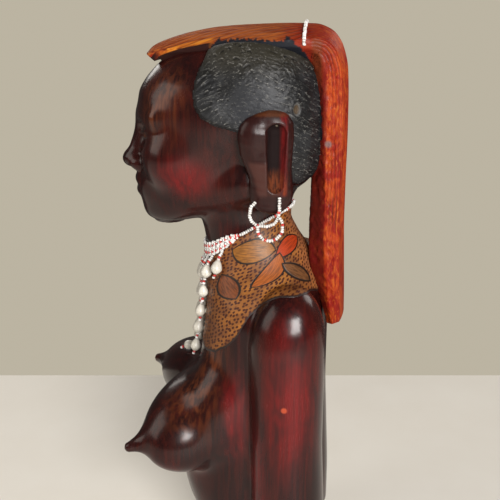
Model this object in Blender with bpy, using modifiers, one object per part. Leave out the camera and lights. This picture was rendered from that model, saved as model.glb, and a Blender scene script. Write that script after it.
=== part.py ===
"""A carved hardwood bust of a woman, with a plaited headdress, stretched ear lobes and strings of beads.

The figure faces -Y, its left side is at +X and it stands on a flat underside at z = 0, centred there.
The block of wood is one solid: its forms are drawn on a carver's grid of 405 units from the base to
the crown, so that they keep their proportions at any height. The beads keep sizes of their own and
are laid against the wood.
"""

import math

import bmesh
import bpy
from mathutils import Euler, Matrix, Vector
from mathutils.bvhtree import BVHTree

# Driving dimensions, in metres.
HEIGHT = 0.405
GRID_UNITS = 405
UNIT = HEIGHT / GRID_UNITS

# Fineness of the carved solid, in grid units and in triangles.
CARVING_STEP = 1.7
SOFTENING = 0.5
SOFTENING_ROUNDS = 5
BUST_TRIANGLES = 6250

# Beads, in metres. Seed beads are the small ones, nuts the large ones of the hanging strands.
SEED_DIAMETER = 0.0023
SEED_LENGTH = 0.0015
SEEDS_BETWEEN_NUTS = 3
NUT_DIAMETER = 0.008
NUT_LENGTH = 0.010
# Stations along a nut: shares of its length from the upper end and of its radius.
NUT_PROFILE = ((0.04, 0.45), (0.25, 0.9), (0.5, 1.0), (0.75, 0.88), (0.96, 0.4))
SEED_INSET = 0.2
CLEARANCE = 0.0003
THREAD_STEP = 0.0025
CHOKER_DEPTH = 0.0125
CHOKER_STEPS = 44

BUST_COLOUR = (0.16, 0.035, 0.025)
SEED_COLOUR = (0.75, 0.5, 0.46)
NUT_COLOUR = (0.8, 0.77, 0.7)


def clear_scene():
    """Remove what the scene holds at the start."""
    for thing in list(bpy.data.objects):
        bpy.data.objects.remove(thing, do_unlink=True)


def new_collection(name):
    """Return a new collection of the scene."""
    collection = bpy.data.collections.new(name)
    bpy.context.scene.collection.children.link(collection)
    return collection


def material(name, colour, roughness, metallic=0.0):
    """Return a plain Principled material."""
    finish = bpy.data.materials.new(name)
    finish.use_nodes = True
    shader = finish.node_tree.nodes["Principled BSDF"]
    shader.inputs["Base Color"].default_value = (*colour, 1.0)
    shader.inputs["Roughness"].default_value = roughness
    shader.inputs["Metallic"].default_value = metallic
    return finish


def object_from(mesh_data, name, collection):
    """Turn a bmesh into an object of a collection."""
    mesh = bpy.data.meshes.new(name)
    mesh_data.to_mesh(mesh)
    mesh_data.free()
    thing = bpy.data.objects.new(name, mesh)
    collection.objects.link(thing)
    return thing


def ellipsoid(block, centre, radii, pose=(0.0, 0.0, 0.0), side=1, sides=32):
    """Add an ellipsoid turned about X, Y and Z in degrees, or its mirror image where side is -1.

    The points of the ellipsoid are returned.
    """
    turns = Euler([math.radians(turn) for turn in pose]).to_matrix().to_4x4()
    mirror = Matrix.Diagonal((side, 1.0, 1.0, 1.0))
    place = mirror @ Matrix.Translation(centre) @ turns @ Matrix.Diagonal((*radii, 1.0))
    made = bmesh.ops.create_uvsphere(block, u_segments=sides, v_segments=sides // 2, radius=1.0,
                                     matrix=place)
    return made["verts"]


def wrap(block, points):
    """Wrap a tight skin round points, in place of the faces that they had."""
    places = [point.co.copy() for point in points]
    bmesh.ops.delete(block, geom=points, context="VERTS")
    points = [block.verts.new(place) for place in places]
    bmesh.ops.convex_hull(block, input=points)
    inside = [point for point in points if not point.link_faces]
    bmesh.ops.delete(block, geom=inside, context="VERTS")


def loft(block, rings):
    """Skin closed rings of as many points each, and close both ends."""
    rows = [[block.verts.new(point) for point in ring] for ring in rings]
    for lower, upper in zip(rows, rows[1:]):
        for index, start in enumerate(lower):
            following = (index + 1) % len(lower)
            block.faces.new((start, lower[following], upper[following], upper[index]))
    block.faces.new(reversed(rows[0]))
    block.faces.new(rows[-1])


def oval(centre, across, deep, power=2.0, sides=36):
    """Return the points of a level oval, squarer as its power rises."""
    points = []
    for index in range(sides):
        angle = 2.0 * math.pi * index / sides
        bend = 2.0 / power
        x = math.copysign(abs(math.cos(angle)) ** bend, math.cos(angle))
        y = math.copysign(abs(math.sin(angle)) ** bend, math.sin(angle))
        points.append(Vector((centre[0] + across * x, centre[1] + deep * y, centre[2])))
    return points


def stack(block, levels, side=1):
    """Loft level ovals on the left side, or on the right side where side is -1."""
    rings = []
    for height, middle, across, front, back, power in levels:
        rings.append(oval((side * middle, (front + back) / 2, height), across, (back - front) / 2, power))
    loft(block, rings)


def club(block, start, end, start_radius, end_radius, sides=24, cap_rings=6):
    """Add a tapering bar with round ends between two points."""
    start, end = Vector(start), Vector(end)
    axis = (end - start).normalized()
    turn = axis.to_track_quat("Z", "Y").to_matrix()
    angles = [math.pi / 2 * (ring + 0.5) / cap_rings for ring in range(cap_rings)]
    rings = [(start - axis * start_radius * math.cos(angle), start_radius * math.sin(angle))
             for angle in angles]
    rings += [(end + axis * end_radius * math.cos(angle), end_radius * math.sin(angle))
              for angle in reversed(angles)]
    loft(block, [[centre + turn @ point for point in oval((0, 0, 0), radius, radius, sides=sides)]
                 for centre, radius in rings])


# The carved forms, in grid units. Levels are height, centre x, half width, front y, back y and the
# power of the oval.

TRUNK_LEVELS = (
    (-4, 0, 54, -13, 59, 2.8), (20, 0, 55, -16, 60, 2.8), (42, 0, 56, -21, 61, 2.6),
    (58, 0, 57, -29, 61.5, 2.5), (72, 0, 57, -35.5, 62, 2.4), (86, 0, 57, -38, 62, 2.4),
    (104, 0, 57, -36, 62, 2.5), (130, 0, 56, -32, 62, 2.6), (160, 0, 56, -27, 62.5, 2.6),
    (190, 0, 56, -22, 63, 2.4), (210, 0, 56, -19.5, 62.5, 2.2), (222, 0, 54, -19, 61.5, 2.1),
    (231, 0, 49, -19, 60, 2.1), (239, 0, 42, -19, 57.5, 2.0), (247, 0, 35, -19, 54, 2.0),
    (256, 0, 30, -19.5, 50, 2.0), (266, 0, 27, -21, 43.5, 2.0), (278, 0, 25.5, -24, 38.5, 2.0),
    (290, 0, 26, -26, 40, 2.0), (302, 0, 28, -24, 46, 2.0), (315, 0, 28, -20, 50, 2.0),
)
ARM_LEVELS = (
    (2.5, 51, 10, 33, 55, 2.2), (4, 51, 15, 28, 60, 2.2), (8, 51, 20, 22, 66, 2.2),
    (16, 51, 23, 18, 69.5, 2.2), (40, 51, 24, 16.5, 69.5, 2.2), (90, 51, 24, 17, 67.5, 2.2),
    (140, 51, 24, 16.5, 65.5, 2.2), (180, 51, 24, 15.5, 65.5, 2.2), (203, 51, 24, 15, 65.5, 2.2),
    (216, 51, 22.5, 17, 64.5, 2.2), (227, 50.5, 19.5, 21, 62, 2.2), (235, 49.5, 15.5, 26.5, 58, 2.2),
    (240, 49, 10, 32, 53, 2.2), (242.5, 48.5, 5, 37, 48, 2.2),
)
BREAST_CENTRE = (27.5, -18.5, 135)
BREAST_RADII = (29, 34, 53)
BREAST_POSE = (-64, -48, 30)
BREAST_ROOT_CENTRE = (31, 9, 149)
BREAST_ROOT_RADII = (26, 29)
NIPPLE_TIP = (61, -67, 124)
NIPPLE_ROOT = (51, -49, 127)
NIPPLE_RADII = (10.5, 3.6)
RIGHT_BREAST_SHIFT = (0, -4.5, 1)
RIGHT_NIPPLE_SHIFT = (0, -4, 6.5)

SKULL_CENTRE = (0, -3, 347)
SKULL_RADII = (39, 61.5, 48)
FACE_LEVELS = (
    (273, 0, 8, -54, -34, 2.1), (276, 0, 13, -58, -22, 2.1), (283, 0, 19.5, -59.5, -8, 2.1),
    (294, 0, 26.5, -60.5, 2, 2.1), (308, 0, 32.5, -61.5, 12, 2.1), (322, 0, 36, -61.5, 22, 2.1),
    (336, 0, 37.5, -61, 30, 2.1), (350, 0, 38, -62.5, 34, 2.1), (360, 0, 37, -63, 34, 2.1),
)
# Rounded forms laid on the face: centre, half sizes and turn about X. The sided ones are mirrored.
CHIN = ((0, -51, 282.5), (12, 11, 9), 0)
NOSE_TIP = ((0, -71, 313.5), (6.4, 6.4, 5.4), 0)
UPPER_LIP = ((0, -63.4, 300.6), (13, 7, 3.9), -10)
LOWER_LIP = ((0, -62.8, 294.2), (11.5, 6.6, 4.2), 10)
NOSTRIL = ((7.4, -64.5, 312), (4.4, 6.4, 4.4), 0)
CHEEK = ((20, -41.5, 321), (15, 15, 15), 0)
EYE = ((16.5, -50.8, 334.5), (8.8, 8.2, 5.2), 0)
# Tapering forms: both ends and their radii.
NOSE_BRIDGE = ((0, -62, 340), (0, -69.5, 315), 3.8, 6.2)
JAW = ((7, -42, 288), (22, 12, 306), 13.5, 15)
BROW = ((8, -59, 345.5), (27, -47, 346), 4.0, 4.0)

HAIR_LEVELS = (
    (299, 0, 16, 24, 45, 2.3), (304, 0, 25, 14, 50.5, 2.3), (310, 0, 31, 6, 55, 2.3),
    (318, 0, 36, -4, 58.5, 2.3), (328, 0, 39.5, -12, 60, 2.3), (342, 0, 41, -17, 60, 2.3),
    (356, 0, 41, -20, 59.5, 2.3), (368, 0, 40, -22, 57.5, 2.3), (379, 0, 37.5, -22, 53.5, 2.3),
    (387, 0, 33.5, -20, 48, 2.3), (392.5, 0, 28, -16, 42, 2.3), (396.5, 0, 19, -8, 33, 2.3),
    (398.5, 0, 9, 4, 22, 2.3),
)

EAR_LEVELS = (
    (290.5, 36, 7, 25, 32, 3), (292, 36, 9, 20, 36, 3), (296, 36, 10, 15.5, 40, 3),
    (303, 36.5, 10, 14, 42, 3), (311, 37, 10, 14, 41.5, 3), (320, 37.5, 10, 11.5, 41, 3),
    (330, 38, 10, 8, 41.5, 3), (340, 38, 10, 7.5, 42, 3), (347, 38, 9.5, 10, 41.5, 3),
    (352, 38, 8.5, 14.5, 39.5, 3), (355, 38, 7, 20, 36, 3), (356.5, 38, 5, 25, 31, 3),
)
EAR_HOLLOW_CENTRE = (48.5, 31.5, 327)
EAR_HOLLOW_RADII = (9, 5.4, 26)

# The headdress follows the outer line from the tip over the forehead to the end of the hanging strip:
# y, z, half width, thickness, depth of its sides, half width of the inner face and fall of the edges.
HEADDRESS_STATIONS = (
    (-57, 385, 5, 7.5, 3, 4, 1), (-52.5, 389.5, 7.5, 11, 5, 6, 2.5), (-43, 393.8, 11.5, 14, 8, 9, 5),
    (-27, 398.6, 17, 16, 11, 12, 8), (-8, 402, 21.5, 18, 12, 15, 8.5), (15, 403.7, 25.5, 19, 12, 19, 8),
    (38, 404.5, 27, 20, 12, 19, 7.5), (52, 404.3, 26.5, 22, 13, 17, 6), (63, 400.5, 25.5, 25, 14, 15, 5),
    (70.3, 391, 25, 26, 15, 14, 4), (74, 376, 24.5, 25, 16, 14, 3.5), (75, 355, 24, 23, 16, 13, 3.5),
    (75.3, 330, 24, 22.5, 15.5, 13, 3.5), (75.1, 305, 24, 23, 14, 12, 3.5),
    (75.1, 280, 24, 23.5, 13, 12, 3.5), (76, 250, 24, 24, 13, 13, 3.5),
    (77, 222, 23, 17, 11, 14, 3), (77.4, 204, 21, 12, 8, 15, 3),
)
HEADDRESS_END_SLANT = 5


def headdress_rings():
    """Return the rings of the headdress and its hanging strip."""
    stations = HEADDRESS_STATIONS
    rings = []
    for index, (y, z, across, thick, side, inner, fall) in enumerate(stations):
        before = stations[max(index - 1, 0)]
        after = stations[min(index + 1, len(stations) - 1)]
        along = Vector((0, after[0] - before[0], after[1] - before[1])).normalized()
        inward = Vector((0, along.z, -along.y))
        slant = along * -HEADDRESS_END_SLANT if index == len(stations) - 1 else Vector()
        half = [(share * across, fall * share * share) for share in (0.0, 0.4, 0.75, 1.0)]
        half += [(across, max(side, fall + 1)), (inner, thick)]
        outline = half + [(0.0, thick)] + [(-x, depth) for x, depth in reversed(half[1:])]
        ring = []
        for x, depth in outline:
            ring.append(Vector((x, y, z)) + inward * depth + slant * (1 - depth / thick))
        rings.append(ring)
    return rings


def side_point(point, side):
    """Return a point of the left side, or its mirror image for the right side."""
    return (side * point[0], point[1], point[2])


def add_breast(block, side):
    """Add one breast with its nipple; the right one is carved a little further forward."""
    shift = Vector(RIGHT_BREAST_SHIFT) if side < 0 else Vector()
    front = ellipsoid(block, Vector(BREAST_CENTRE) + shift, BREAST_RADII, BREAST_POSE, side, sides=48)
    across, tall = BREAST_ROOT_RADII
    x, y, z = side_point(BREAST_ROOT_CENTRE, side)
    root = [block.verts.new((x + point.x, y, z + point.y)) for point in oval((0, 0, 0), across, tall)]
    wrap(block, front + root)
    shift = Vector(RIGHT_NIPPLE_SHIFT) if side < 0 else Vector()
    root = Vector(side_point(NIPPLE_ROOT, side)) + shift
    tip = Vector(side_point(NIPPLE_TIP, side)) + shift
    club(block, root, tip, *NIPPLE_RADII)


def add_arm(block, side):
    """Add the upper arm, carved as a stump that runs down to a round end."""
    stack(block, ARM_LEVELS, side)


def add_ear(block, side):
    """Add the slab of one ear with its long lobe."""
    stack(block, EAR_LEVELS, side)


def add_face(block):
    """Add the face: jaw, brow, nose, eyes, lips and chin, on a calm and even plan."""
    stack(block, FACE_LEVELS)
    for centre, radii, lean in (CHIN, NOSE_TIP, UPPER_LIP, LOWER_LIP):
        ellipsoid(block, centre, radii, (lean, 0, 0))
    club(block, *NOSE_BRIDGE)
    for side in (-1, 1):
        for centre, radii, lean in (NOSTRIL, CHEEK, EYE):
            ellipsoid(block, centre, radii, (lean, 0, 0), side)
        for start, end, start_radius, end_radius in (JAW, BROW):
            club(block, side_point(start, side), side_point(end, side), start_radius, end_radius)


def carve_bust(parts, helpers):
    """Model the block of wood as one solid and cut it flat below."""
    block = bmesh.new()
    stack(block, TRUNK_LEVELS)
    ellipsoid(block, SKULL_CENTRE, SKULL_RADII, sides=48)
    stack(block, HAIR_LEVELS)
    add_face(block)
    for side in (-1, 1):
        add_breast(block, side)
        add_arm(block, side)
        add_ear(block, side)
    loft(block, headdress_rings())
    bmesh.ops.recalc_face_normals(block, faces=block.faces)
    bmesh.ops.scale(block, vec=(UNIT, UNIT, UNIT), verts=block.verts)
    bust = object_from(block, "bust", parts)

    fuse = bust.modifiers.new("Fuse", "REMESH")
    fuse.mode = "VOXEL"
    fuse.voxel_size = CARVING_STEP * UNIT
    hollows = ear_hollows(helpers)
    carve = bust.modifiers.new("Carve", "BOOLEAN")
    carve.operation = "DIFFERENCE"
    carve.object = hollows
    soften = bust.modifiers.new("Soften", "SMOOTH")
    soften.factor = SOFTENING
    soften.iterations = SOFTENING_ROUNDS
    faces = len(evaluated(bust).data.polygons)
    thin = bust.modifiers.new("Thin", "DECIMATE")
    thin.ratio = BUST_TRIANGLES / (2.0 * faces)
    saw = bust.modifiers.new("Saw", "BOOLEAN")
    saw.operation = "DIFFERENCE"
    saw.object = ground(helpers)
    return bust


def evaluated(thing):
    """Return the object as its modifiers leave it."""
    return thing.evaluated_get(bpy.context.evaluated_depsgraph_get())


def helper_object(block, name, helpers):
    """Make a guide object that is hidden and not part of the figure."""
    thing = object_from(block, name, helpers)
    thing.hide_render = True
    thing.display_type = "WIRE"
    return thing


def ear_hollows(helpers):
    """Return the cutter for the long hollow inside the rim of each ear."""
    block = bmesh.new()
    for side in (-1, 1):
        ellipsoid(block, side_point(EAR_HOLLOW_CENTRE, side), EAR_HOLLOW_RADII)
    bmesh.ops.recalc_face_normals(block, faces=block.faces)
    bmesh.ops.scale(block, vec=(UNIT, UNIT, UNIT), verts=block.verts)
    return helper_object(block, "ear_hollow_cutter", helpers)


def ground(helpers):
    """Return the cutter that leaves the flat underside at z = 0."""
    block = bmesh.new()
    bmesh.ops.create_cube(block, size=HEIGHT, matrix=Matrix.Translation((0, 0, -HEIGHT / 2)))
    return helper_object(block, "underside_cutter", helpers)


# The strings of beads. The choker lies in a plane that rises towards the nape: its height at the front
# and at the nape, in grid units, and the turn from the front, in degrees, where its net ends.
THROAT_Y = -23
NAPE_Y = 39
NECK_AXIS_Y = (THROAT_Y + NAPE_Y) / 2
NECK_REACH = (NAPE_Y - THROAT_Y) / 2
CHOKER_FRONT = 256
CHOKER_NAPE = 286
CHOKER_NET_END = 78
CHOKER_EDGE_THICKNESS = 0.7

# Hanging strands from the figure's left to its right: x on the chest in grid units, and nuts.
STRANDS = ((28.5, 1), (22, 2), (15, 3), (7, 5), (-1.5, 4), (-10, 6), (-18.5, 3), (-26.5, 1))

# Routes of the two strings at each ear, in grid units, and where the headdress string lies.
EAR_STRING = ((48.6, 19, 300), (50.6, 16.4, 296.5), (50.6, 15.6, 291.5), (50.4, 17.6, 287), (50, 22, 284.4),
              (50, 27, 284.6), (50, 31.5, 287), (50.2, 33.8, 291.5), (50.6, 34.2, 297.5), (49, 34, 303.5))
EAR_RING = ((52.6, 20.5, 285.5), (52.8, 21.5, 280.5), (53, 25, 276.6), (53, 29.5, 276), (53, 34, 278.8),
            (52.8, 36.6, 283.5), (52.6, 36, 289), (52.4, 34.5, 291.5))
HEADDRESS_STRING_CENTRE = (0, 46.5, 384)
HEADDRESS_STRING_REACH = 70
HEADDRESS_STRING_STEPS = 20


class Skin:
    """The surface of the carved wood, asked where beads can lie on it."""

    def __init__(self, bust):
        """Keep the surface that the modifiers leave."""
        self.tree = BVHTree.FromObject(bust, bpy.context.evaluated_depsgraph_get())

    def outward(self, centre, direction):
        """Return the skin point and normal met first from inside the wood."""
        point, normal, _, _ = self.tree.ray_cast(centre, direction)
        return point, normal

    def clear_of(self, point, outward, gap):
        """Return the point moved outward until the wood is at least a gap away."""
        moved = point.copy()
        while self.tree.find_nearest(moved)[3] < gap:
            moved = moved + outward * CLEARANCE / 4
        return moved

    def before(self, x, z):
        """Return the skin point and normal met first from in front of the figure."""
        point, normal, _, _ = self.tree.ray_cast(Vector((x, -HEIGHT, z)), Vector((0, 1, 0)))
        return point, normal


def string_of_beads(name, stations, finish, parts):
    """Lay a string along stations, each a point and a radius, as a curve with six sides."""
    curve = bpy.data.curves.new(name, "CURVE")
    curve.dimensions = "3D"
    curve.bevel_mode = "ROUND"
    curve.bevel_depth = 1.0
    curve.bevel_resolution = 1
    curve.use_fill_caps = True
    spline = curve.splines.new("POLY")
    spline.points.add(len(stations) - 1)
    for knot, (point, radius) in zip(spline.points, stations):
        knot.co = (*point, 1.0)
        knot.radius = radius
    curve.materials.append(finish)
    thing = bpy.data.objects.new(name, curve)
    parts.objects.link(thing)


def smooth_route(points, step):
    """Return points about a step apart on a smooth curve through the given ones."""
    guides = [2 * points[0] - points[1], *points, 2 * points[-1] - points[-2]]
    route = []
    for before, start, end, after in zip(guides, guides[1:], guides[2:], guides[3:]):
        pieces = max(1, round((end - start).length / step))
        for piece in range(pieces):
            t = piece / pieces
            route.append(0.5 * (2 * start + (end - before) * t
                                + (2 * before - 5 * start + 4 * end - after) * t * t
                                + (3 * start - before - 3 * end + after) * t ** 3))
    route.append(points[-1])
    return route


def choker_height(turn):
    """Return the height of the choker's middle where it has turned so many degrees from the front."""
    share = (1 - math.cos(math.radians(turn))) / 2
    return UNIT * (CHOKER_FRONT + (CHOKER_NAPE - CHOKER_FRONT) * share)


def choker_half_height(turn):
    """Return half the choker's height where it has turned so many degrees from the front."""
    share = min(1.0, abs(turn) / CHOKER_NET_END)
    return (CHOKER_DEPTH * (1 - share ** 3) + SEED_DIAMETER * share ** 3) / 2


def choker(skin, finish, parts):
    """Build the netted band at the throat, which runs into a single string round the nape."""
    block = bmesh.new()
    rows = []
    for step in range(CHOKER_STEPS):
        turn = 360.0 * step / CHOKER_STEPS - 180.0
        angle = math.radians(turn)
        outward = Vector((math.sin(angle), -math.cos(angle), 0))
        inner, outer = [], []
        for share, swell in ((-1, CHOKER_EDGE_THICKNESS), (0, 1), (1, CHOKER_EDGE_THICKNESS)):
            height = choker_height(turn) + share * choker_half_height(turn)
            skin_point, _ = skin.outward(Vector((0, NECK_AXIS_Y * UNIT, height)), outward)
            inner.append(skin.clear_of(skin_point + outward * CLEARANCE, outward, CLEARANCE))
            outer.append(inner[-1] + outward * swell * SEED_DIAMETER)
        rows.append([block.verts.new(point) for point in inner + outer[::-1]])
    for row, following in zip(rows, rows[1:] + rows[:1]):
        for index, start in enumerate(row):
            above = (index + 1) % len(row)
            block.faces.new((start, row[above], following[above], following[index]))
    bmesh.ops.recalc_face_normals(block, faces=block.faces)
    band = object_from(block, "choker", parts)
    band.data.materials.append(finish)
    band.data.shade_smooth()


def strand_stations(skin, x, nuts):
    """Return the stations of one hanging strand, from the choker down."""
    seed = SEED_DIAMETER / 2
    gap = SEEDS_BETWEEN_NUTS * SEED_LENGTH
    turn = math.degrees(math.atan2(x, NECK_REACH))
    top = choker_height(turn) - choker_half_height(turn) - 2 * CLEARANCE
    falls = [(0.0, seed)]
    reach = gap + SEED_LENGTH
    for _ in range(nuts):
        falls += [(reach + share * NUT_LENGTH, swell * NUT_DIAMETER / 2) for share, swell in NUT_PROFILE]
        reach += NUT_LENGTH
        falls += [(reach + SEED_INSET * SEED_LENGTH, seed), (reach + gap - SEED_INSET * SEED_LENGTH, seed)]
        reach += gap
    stations = []
    for fall, radius in falls:
        contact, normal = skin.before(x * UNIT, top - fall)
        swing = min(1.0, fall / gap)
        lift = CLEARANCE + seed + (NUT_DIAMETER / 2 - seed) * swing
        stations.append((skin.clear_of(contact + normal * lift, normal, lift), radius))
    return stations


def ear_strings(finish, parts):
    """Hang a string and a ring of beads from each stretched lobe."""
    for side, label in ((1, "left"), (-1, "right")):
        for kind, route in (("string", EAR_STRING), ("ring", EAR_RING)):
            points = [Vector(side_point(point, side)) * UNIT for point in route]
            stations = [(point, SEED_DIAMETER / 2) for point in smooth_route(points, THREAD_STEP)]
            string_of_beads(f"ear_{kind}_{label}", stations, finish, parts)


def headdress_string(skin, finish, parts):
    """Lay a string of beads over the headdress from side to side."""
    centre = Vector(HEADDRESS_STRING_CENTRE) * UNIT
    gap = SEED_DIAMETER / 2 + CLEARANCE
    stations = []
    for step in range(HEADDRESS_STRING_STEPS + 1):
        angle = math.radians(HEADDRESS_STRING_REACH * (2 * step / HEADDRESS_STRING_STEPS - 1))
        outward = Vector((math.sin(angle), 0, math.cos(angle)))
        contact, _ = skin.outward(centre, outward)
        stations.append((skin.clear_of(contact + outward * gap, outward, gap), SEED_DIAMETER / 2))
    string_of_beads("headdress_string", stations, finish, parts)


def main():
    """Build the figure."""
    clear_scene()
    parts = new_collection("beaded bust")
    helpers = new_collection("cutters")
    bust = carve_bust(parts, helpers)
    bust.data.materials.append(material("carved wood", BUST_COLOUR, 0.3))
    bust.data.shade_smooth()
    seeds = material("glass seed beads", SEED_COLOUR, 0.3)
    nuts = material("polished white nuts", NUT_COLOUR, 0.25)
    skin = Skin(bust)
    choker(skin, seeds, parts)
    for number, (x, count) in enumerate(STRANDS, start=1):
        string_of_beads(f"strand_{number}", strand_stations(skin, x, count), nuts, parts)
    ear_strings(seeds, parts)
    headdress_string(skin, seeds, parts)


main()
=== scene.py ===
"""The looks of a carved hardwood bust with a plaited headdress and strings of beads.

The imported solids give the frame. Every carved surface here is worked out again as a distance field from
the same forms as the solid block, at a finer step, and then cut, painted and waxed. Lengths are in
millimetres until a mesh is made. The figure faces -Y, its left side is at +X and it stands on z = 0.
"""
import logging
import math
from dataclasses import dataclass, field
from enum import Enum

import bpy
import numpy as np
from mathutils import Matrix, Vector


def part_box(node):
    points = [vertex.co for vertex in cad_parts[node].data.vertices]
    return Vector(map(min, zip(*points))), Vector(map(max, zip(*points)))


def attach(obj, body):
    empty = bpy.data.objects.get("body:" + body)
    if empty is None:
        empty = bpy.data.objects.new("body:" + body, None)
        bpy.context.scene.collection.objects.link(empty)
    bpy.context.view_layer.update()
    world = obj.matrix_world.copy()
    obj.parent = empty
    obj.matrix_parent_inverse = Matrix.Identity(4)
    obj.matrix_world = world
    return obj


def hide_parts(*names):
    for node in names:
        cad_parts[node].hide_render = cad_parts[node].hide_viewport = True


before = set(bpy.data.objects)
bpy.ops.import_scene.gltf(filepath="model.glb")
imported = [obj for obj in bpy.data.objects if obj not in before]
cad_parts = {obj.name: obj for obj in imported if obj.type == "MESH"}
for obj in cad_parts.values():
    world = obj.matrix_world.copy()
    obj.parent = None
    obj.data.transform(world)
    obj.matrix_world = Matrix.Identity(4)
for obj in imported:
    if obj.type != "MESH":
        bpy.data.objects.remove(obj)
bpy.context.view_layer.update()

Array = np.ndarray
Colour = tuple[float, float, float]
Table = tuple[tuple[float, ...], ...]

LOG = logging.getLogger("beaded bust")
MILLIMETRE = 0.001
# How far from a point the slope of a form is read.
PROBE = 0.12
# The paces and the steepness of the sines whose loose digits serve as chance.
CHANCE_PACES = (12.9898, 78.233)
CHANCE_STEEP = 43758.5453
# The knot hole in the hair behind the ear.
HAIR_KNOT = (35.5, 42.5, 356.0)


# Arrays and meshes.


def glide(places: Array, knots: Array, values: Array) -> Array:
    """Read a table between its rows, by the cubic that never swings past two neighbouring rows.

    Args:
        places: where the table is read.
        knots: the rising places of its rows.
        values: its rows, one column to each quantity.

    Returns:
        One row for each place.
    """
    gaps = np.diff(knots)
    slopes = np.diff(values, axis=0) / gaps[:, None]
    product = slopes[:-1] * slopes[1:]
    total = slopes[:-1] + slopes[1:]
    tangents = np.empty_like(values)
    tangents[1:-1] = np.where(product > 0, 2 * product / np.where(total == 0, 1, total), 0)
    tangents[0], tangents[-1] = slopes[0], slopes[-1]
    row = np.clip(np.searchsorted(knots, places) - 1, 0, len(knots) - 2)
    gap = gaps[row][:, None]
    t = np.clip((places - knots[row]) / gaps[row], 0, 1)[:, None]
    return ((1 + 2 * t) * (1 - t) ** 2 * values[row] + t * (1 - t) ** 2 * gap * tangents[row]
            + t * t * (3 - 2 * t) * values[row + 1] + t * t * (t - 1) * gap * tangents[row + 1])


def ease(value: Array, low: float, high: float) -> Array:
    """Rise smoothly from 0 at low to 1 at high."""
    t = np.clip((value - low) / (high - low), 0, 1)
    return t * t * (3 - 2 * t)


def ripple(x: Array, y: Array, z: Array, step: float, seed: float) -> Array:
    """Return a smooth uneven pattern, a sum of six slanting waves.

    Args:
        x, y, z: the points' coordinates in millimetres.
        step: the length of the waves.
        seed: a number that sets where they lie.

    Returns:
        The pattern at each point, mostly between -1 and 1.
    """
    total = 0.0
    for turn in range(6):
        a, b = seed + 2.4 * turn, 1.3 * seed + 1.7 * turn
        way = (math.cos(a) * math.cos(b), math.sin(a) * math.cos(b), math.sin(b))
        pace = 2 * math.pi / (step * (0.75 + 0.13 * turn))
        total = total + np.sin(pace * (way[0] * x + way[1] * y + way[2] * z) + 5.1 * turn + seed)
    return total / 3


@dataclass
class Shape:
    """Points, faces of any number of corners, and numbers that the faces' finish reads."""

    points: Array
    faces: list[Array]
    marks: dict[str, Array] = field(default_factory=dict)

    @staticmethod
    def joined(shapes: list["Shape"]) -> "Shape":
        """Put shapes together as one.

        Args:
            shapes: shapes that keep the same numbers.

        Returns:
            The one shape.
        """
        start, points, faces = 0, [], []
        for shape in shapes:
            points.append(shape.points)
            faces += [corners + start for corners in shape.faces]
            start += len(shape.points)
        names = shapes[0].marks
        return Shape(np.concatenate(points), faces,
                     {name: np.concatenate([shape.marks[name] for shape in shapes]) for name in names})


def lattice(rows: int, columns: int, ring: bool, loop: bool = False) -> Array:
    """Join a grid of points with quads.

    Args:
        rows: how many rows of points there are.
        columns: how many points each row has.
        ring: whether each row closes.
        loop: whether the last row joins the first.

    Returns:
        The four corners of each quad.
    """
    row = np.arange(rows if loop else rows - 1)[:, None]
    column = np.arange(columns if ring else columns - 1)[None, :]
    row, column = np.broadcast_arrays(row, column)
    after, beside = (row + 1) % rows, (column + 1) % columns
    return np.stack([row * columns + column, row * columns + beside, after * columns + beside,
                     after * columns + column], -1).reshape(-1, 4)


def make_piece(name: str, shape: Shape, finish: "bpy.types.Material", replaced: tuple[str, ...] = ()) -> "bpy.types.Object":
    """Turn a shape into a piece of the scene that rides on the part.

    Args:
        name: the piece's name.
        shape: its points in millimetres.
        finish: its material.
        replaced: the solids that it stands for.

    Returns:
        The new object, at the origin.
    """
    mesh = bpy.data.meshes.new(name)
    counts = np.concatenate([np.full(len(corners), corners.shape[1]) for corners in shape.faces])
    loops = np.concatenate([corners.ravel() for corners in shape.faces]).astype(np.int32)
    starts = np.concatenate([[0], np.cumsum(counts)[:-1]]).astype(np.int32)
    mesh.vertices.add(len(shape.points))
    mesh.vertices.foreach_set("co", (shape.points * MILLIMETRE).astype(np.float32).ravel())
    mesh.loops.add(len(loops))
    mesh.loops.foreach_set("vertex_index", loops)
    mesh.polygons.add(len(counts))
    mesh.polygons.foreach_set("loop_start", starts)
    mesh.update(calc_edges=True)
    mesh.validate()
    mesh.shade_smooth()
    for mark, values in shape.marks.items():
        layer = mesh.attributes.new(mark, "FLOAT", "POINT")
        layer.data.foreach_set("value", values.astype(np.float32))
    mesh.materials.append(finish)
    piece = bpy.data.objects.new(name, mesh)
    bpy.context.scene.collection.objects.link(piece)
    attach(piece, "root")
    if replaced:
        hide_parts(*replaced)
    LOG.info("%s: %d points, %d faces", name, len(shape.points), len(counts))
    return piece


# Forms: each gives the distance of points from its surface, below 0 inside.


@dataclass(frozen=True)
class Stack:
    """Level ovals one above another: height, middle x, half width, front y, back y and squareness."""

    levels: Table

    def distance(self, x: Array, y: Array, z: Array) -> Array:
        """Measure from the oval at each height along the line from its middle.

        Args:
            x, y, z: the points' coordinates in millimetres.

        Returns:
            The distance of each point, below 0 inside.
        """
        table = np.array(self.levels, float)
        rows = glide(np.ravel(z), table[:, 0], table[:, 1:])
        middle, across, front, back, power = (rows[:, n].reshape(np.shape(z)) for n in range(5))
        centre, deep = (front + back) / 2, (back - front) / 2
        off_x, off_y = np.abs(x - middle) + 1e-3, np.abs(y - centre)
        gauge = ((off_x / across) ** power + (off_y / deep) ** power) ** (1 / power)
        beyond = np.maximum(table[0, 0] - z, z - table[-1, 0])
        return np.maximum(np.hypot(off_x, off_y) * (1 - 1 / gauge), beyond)


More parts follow.
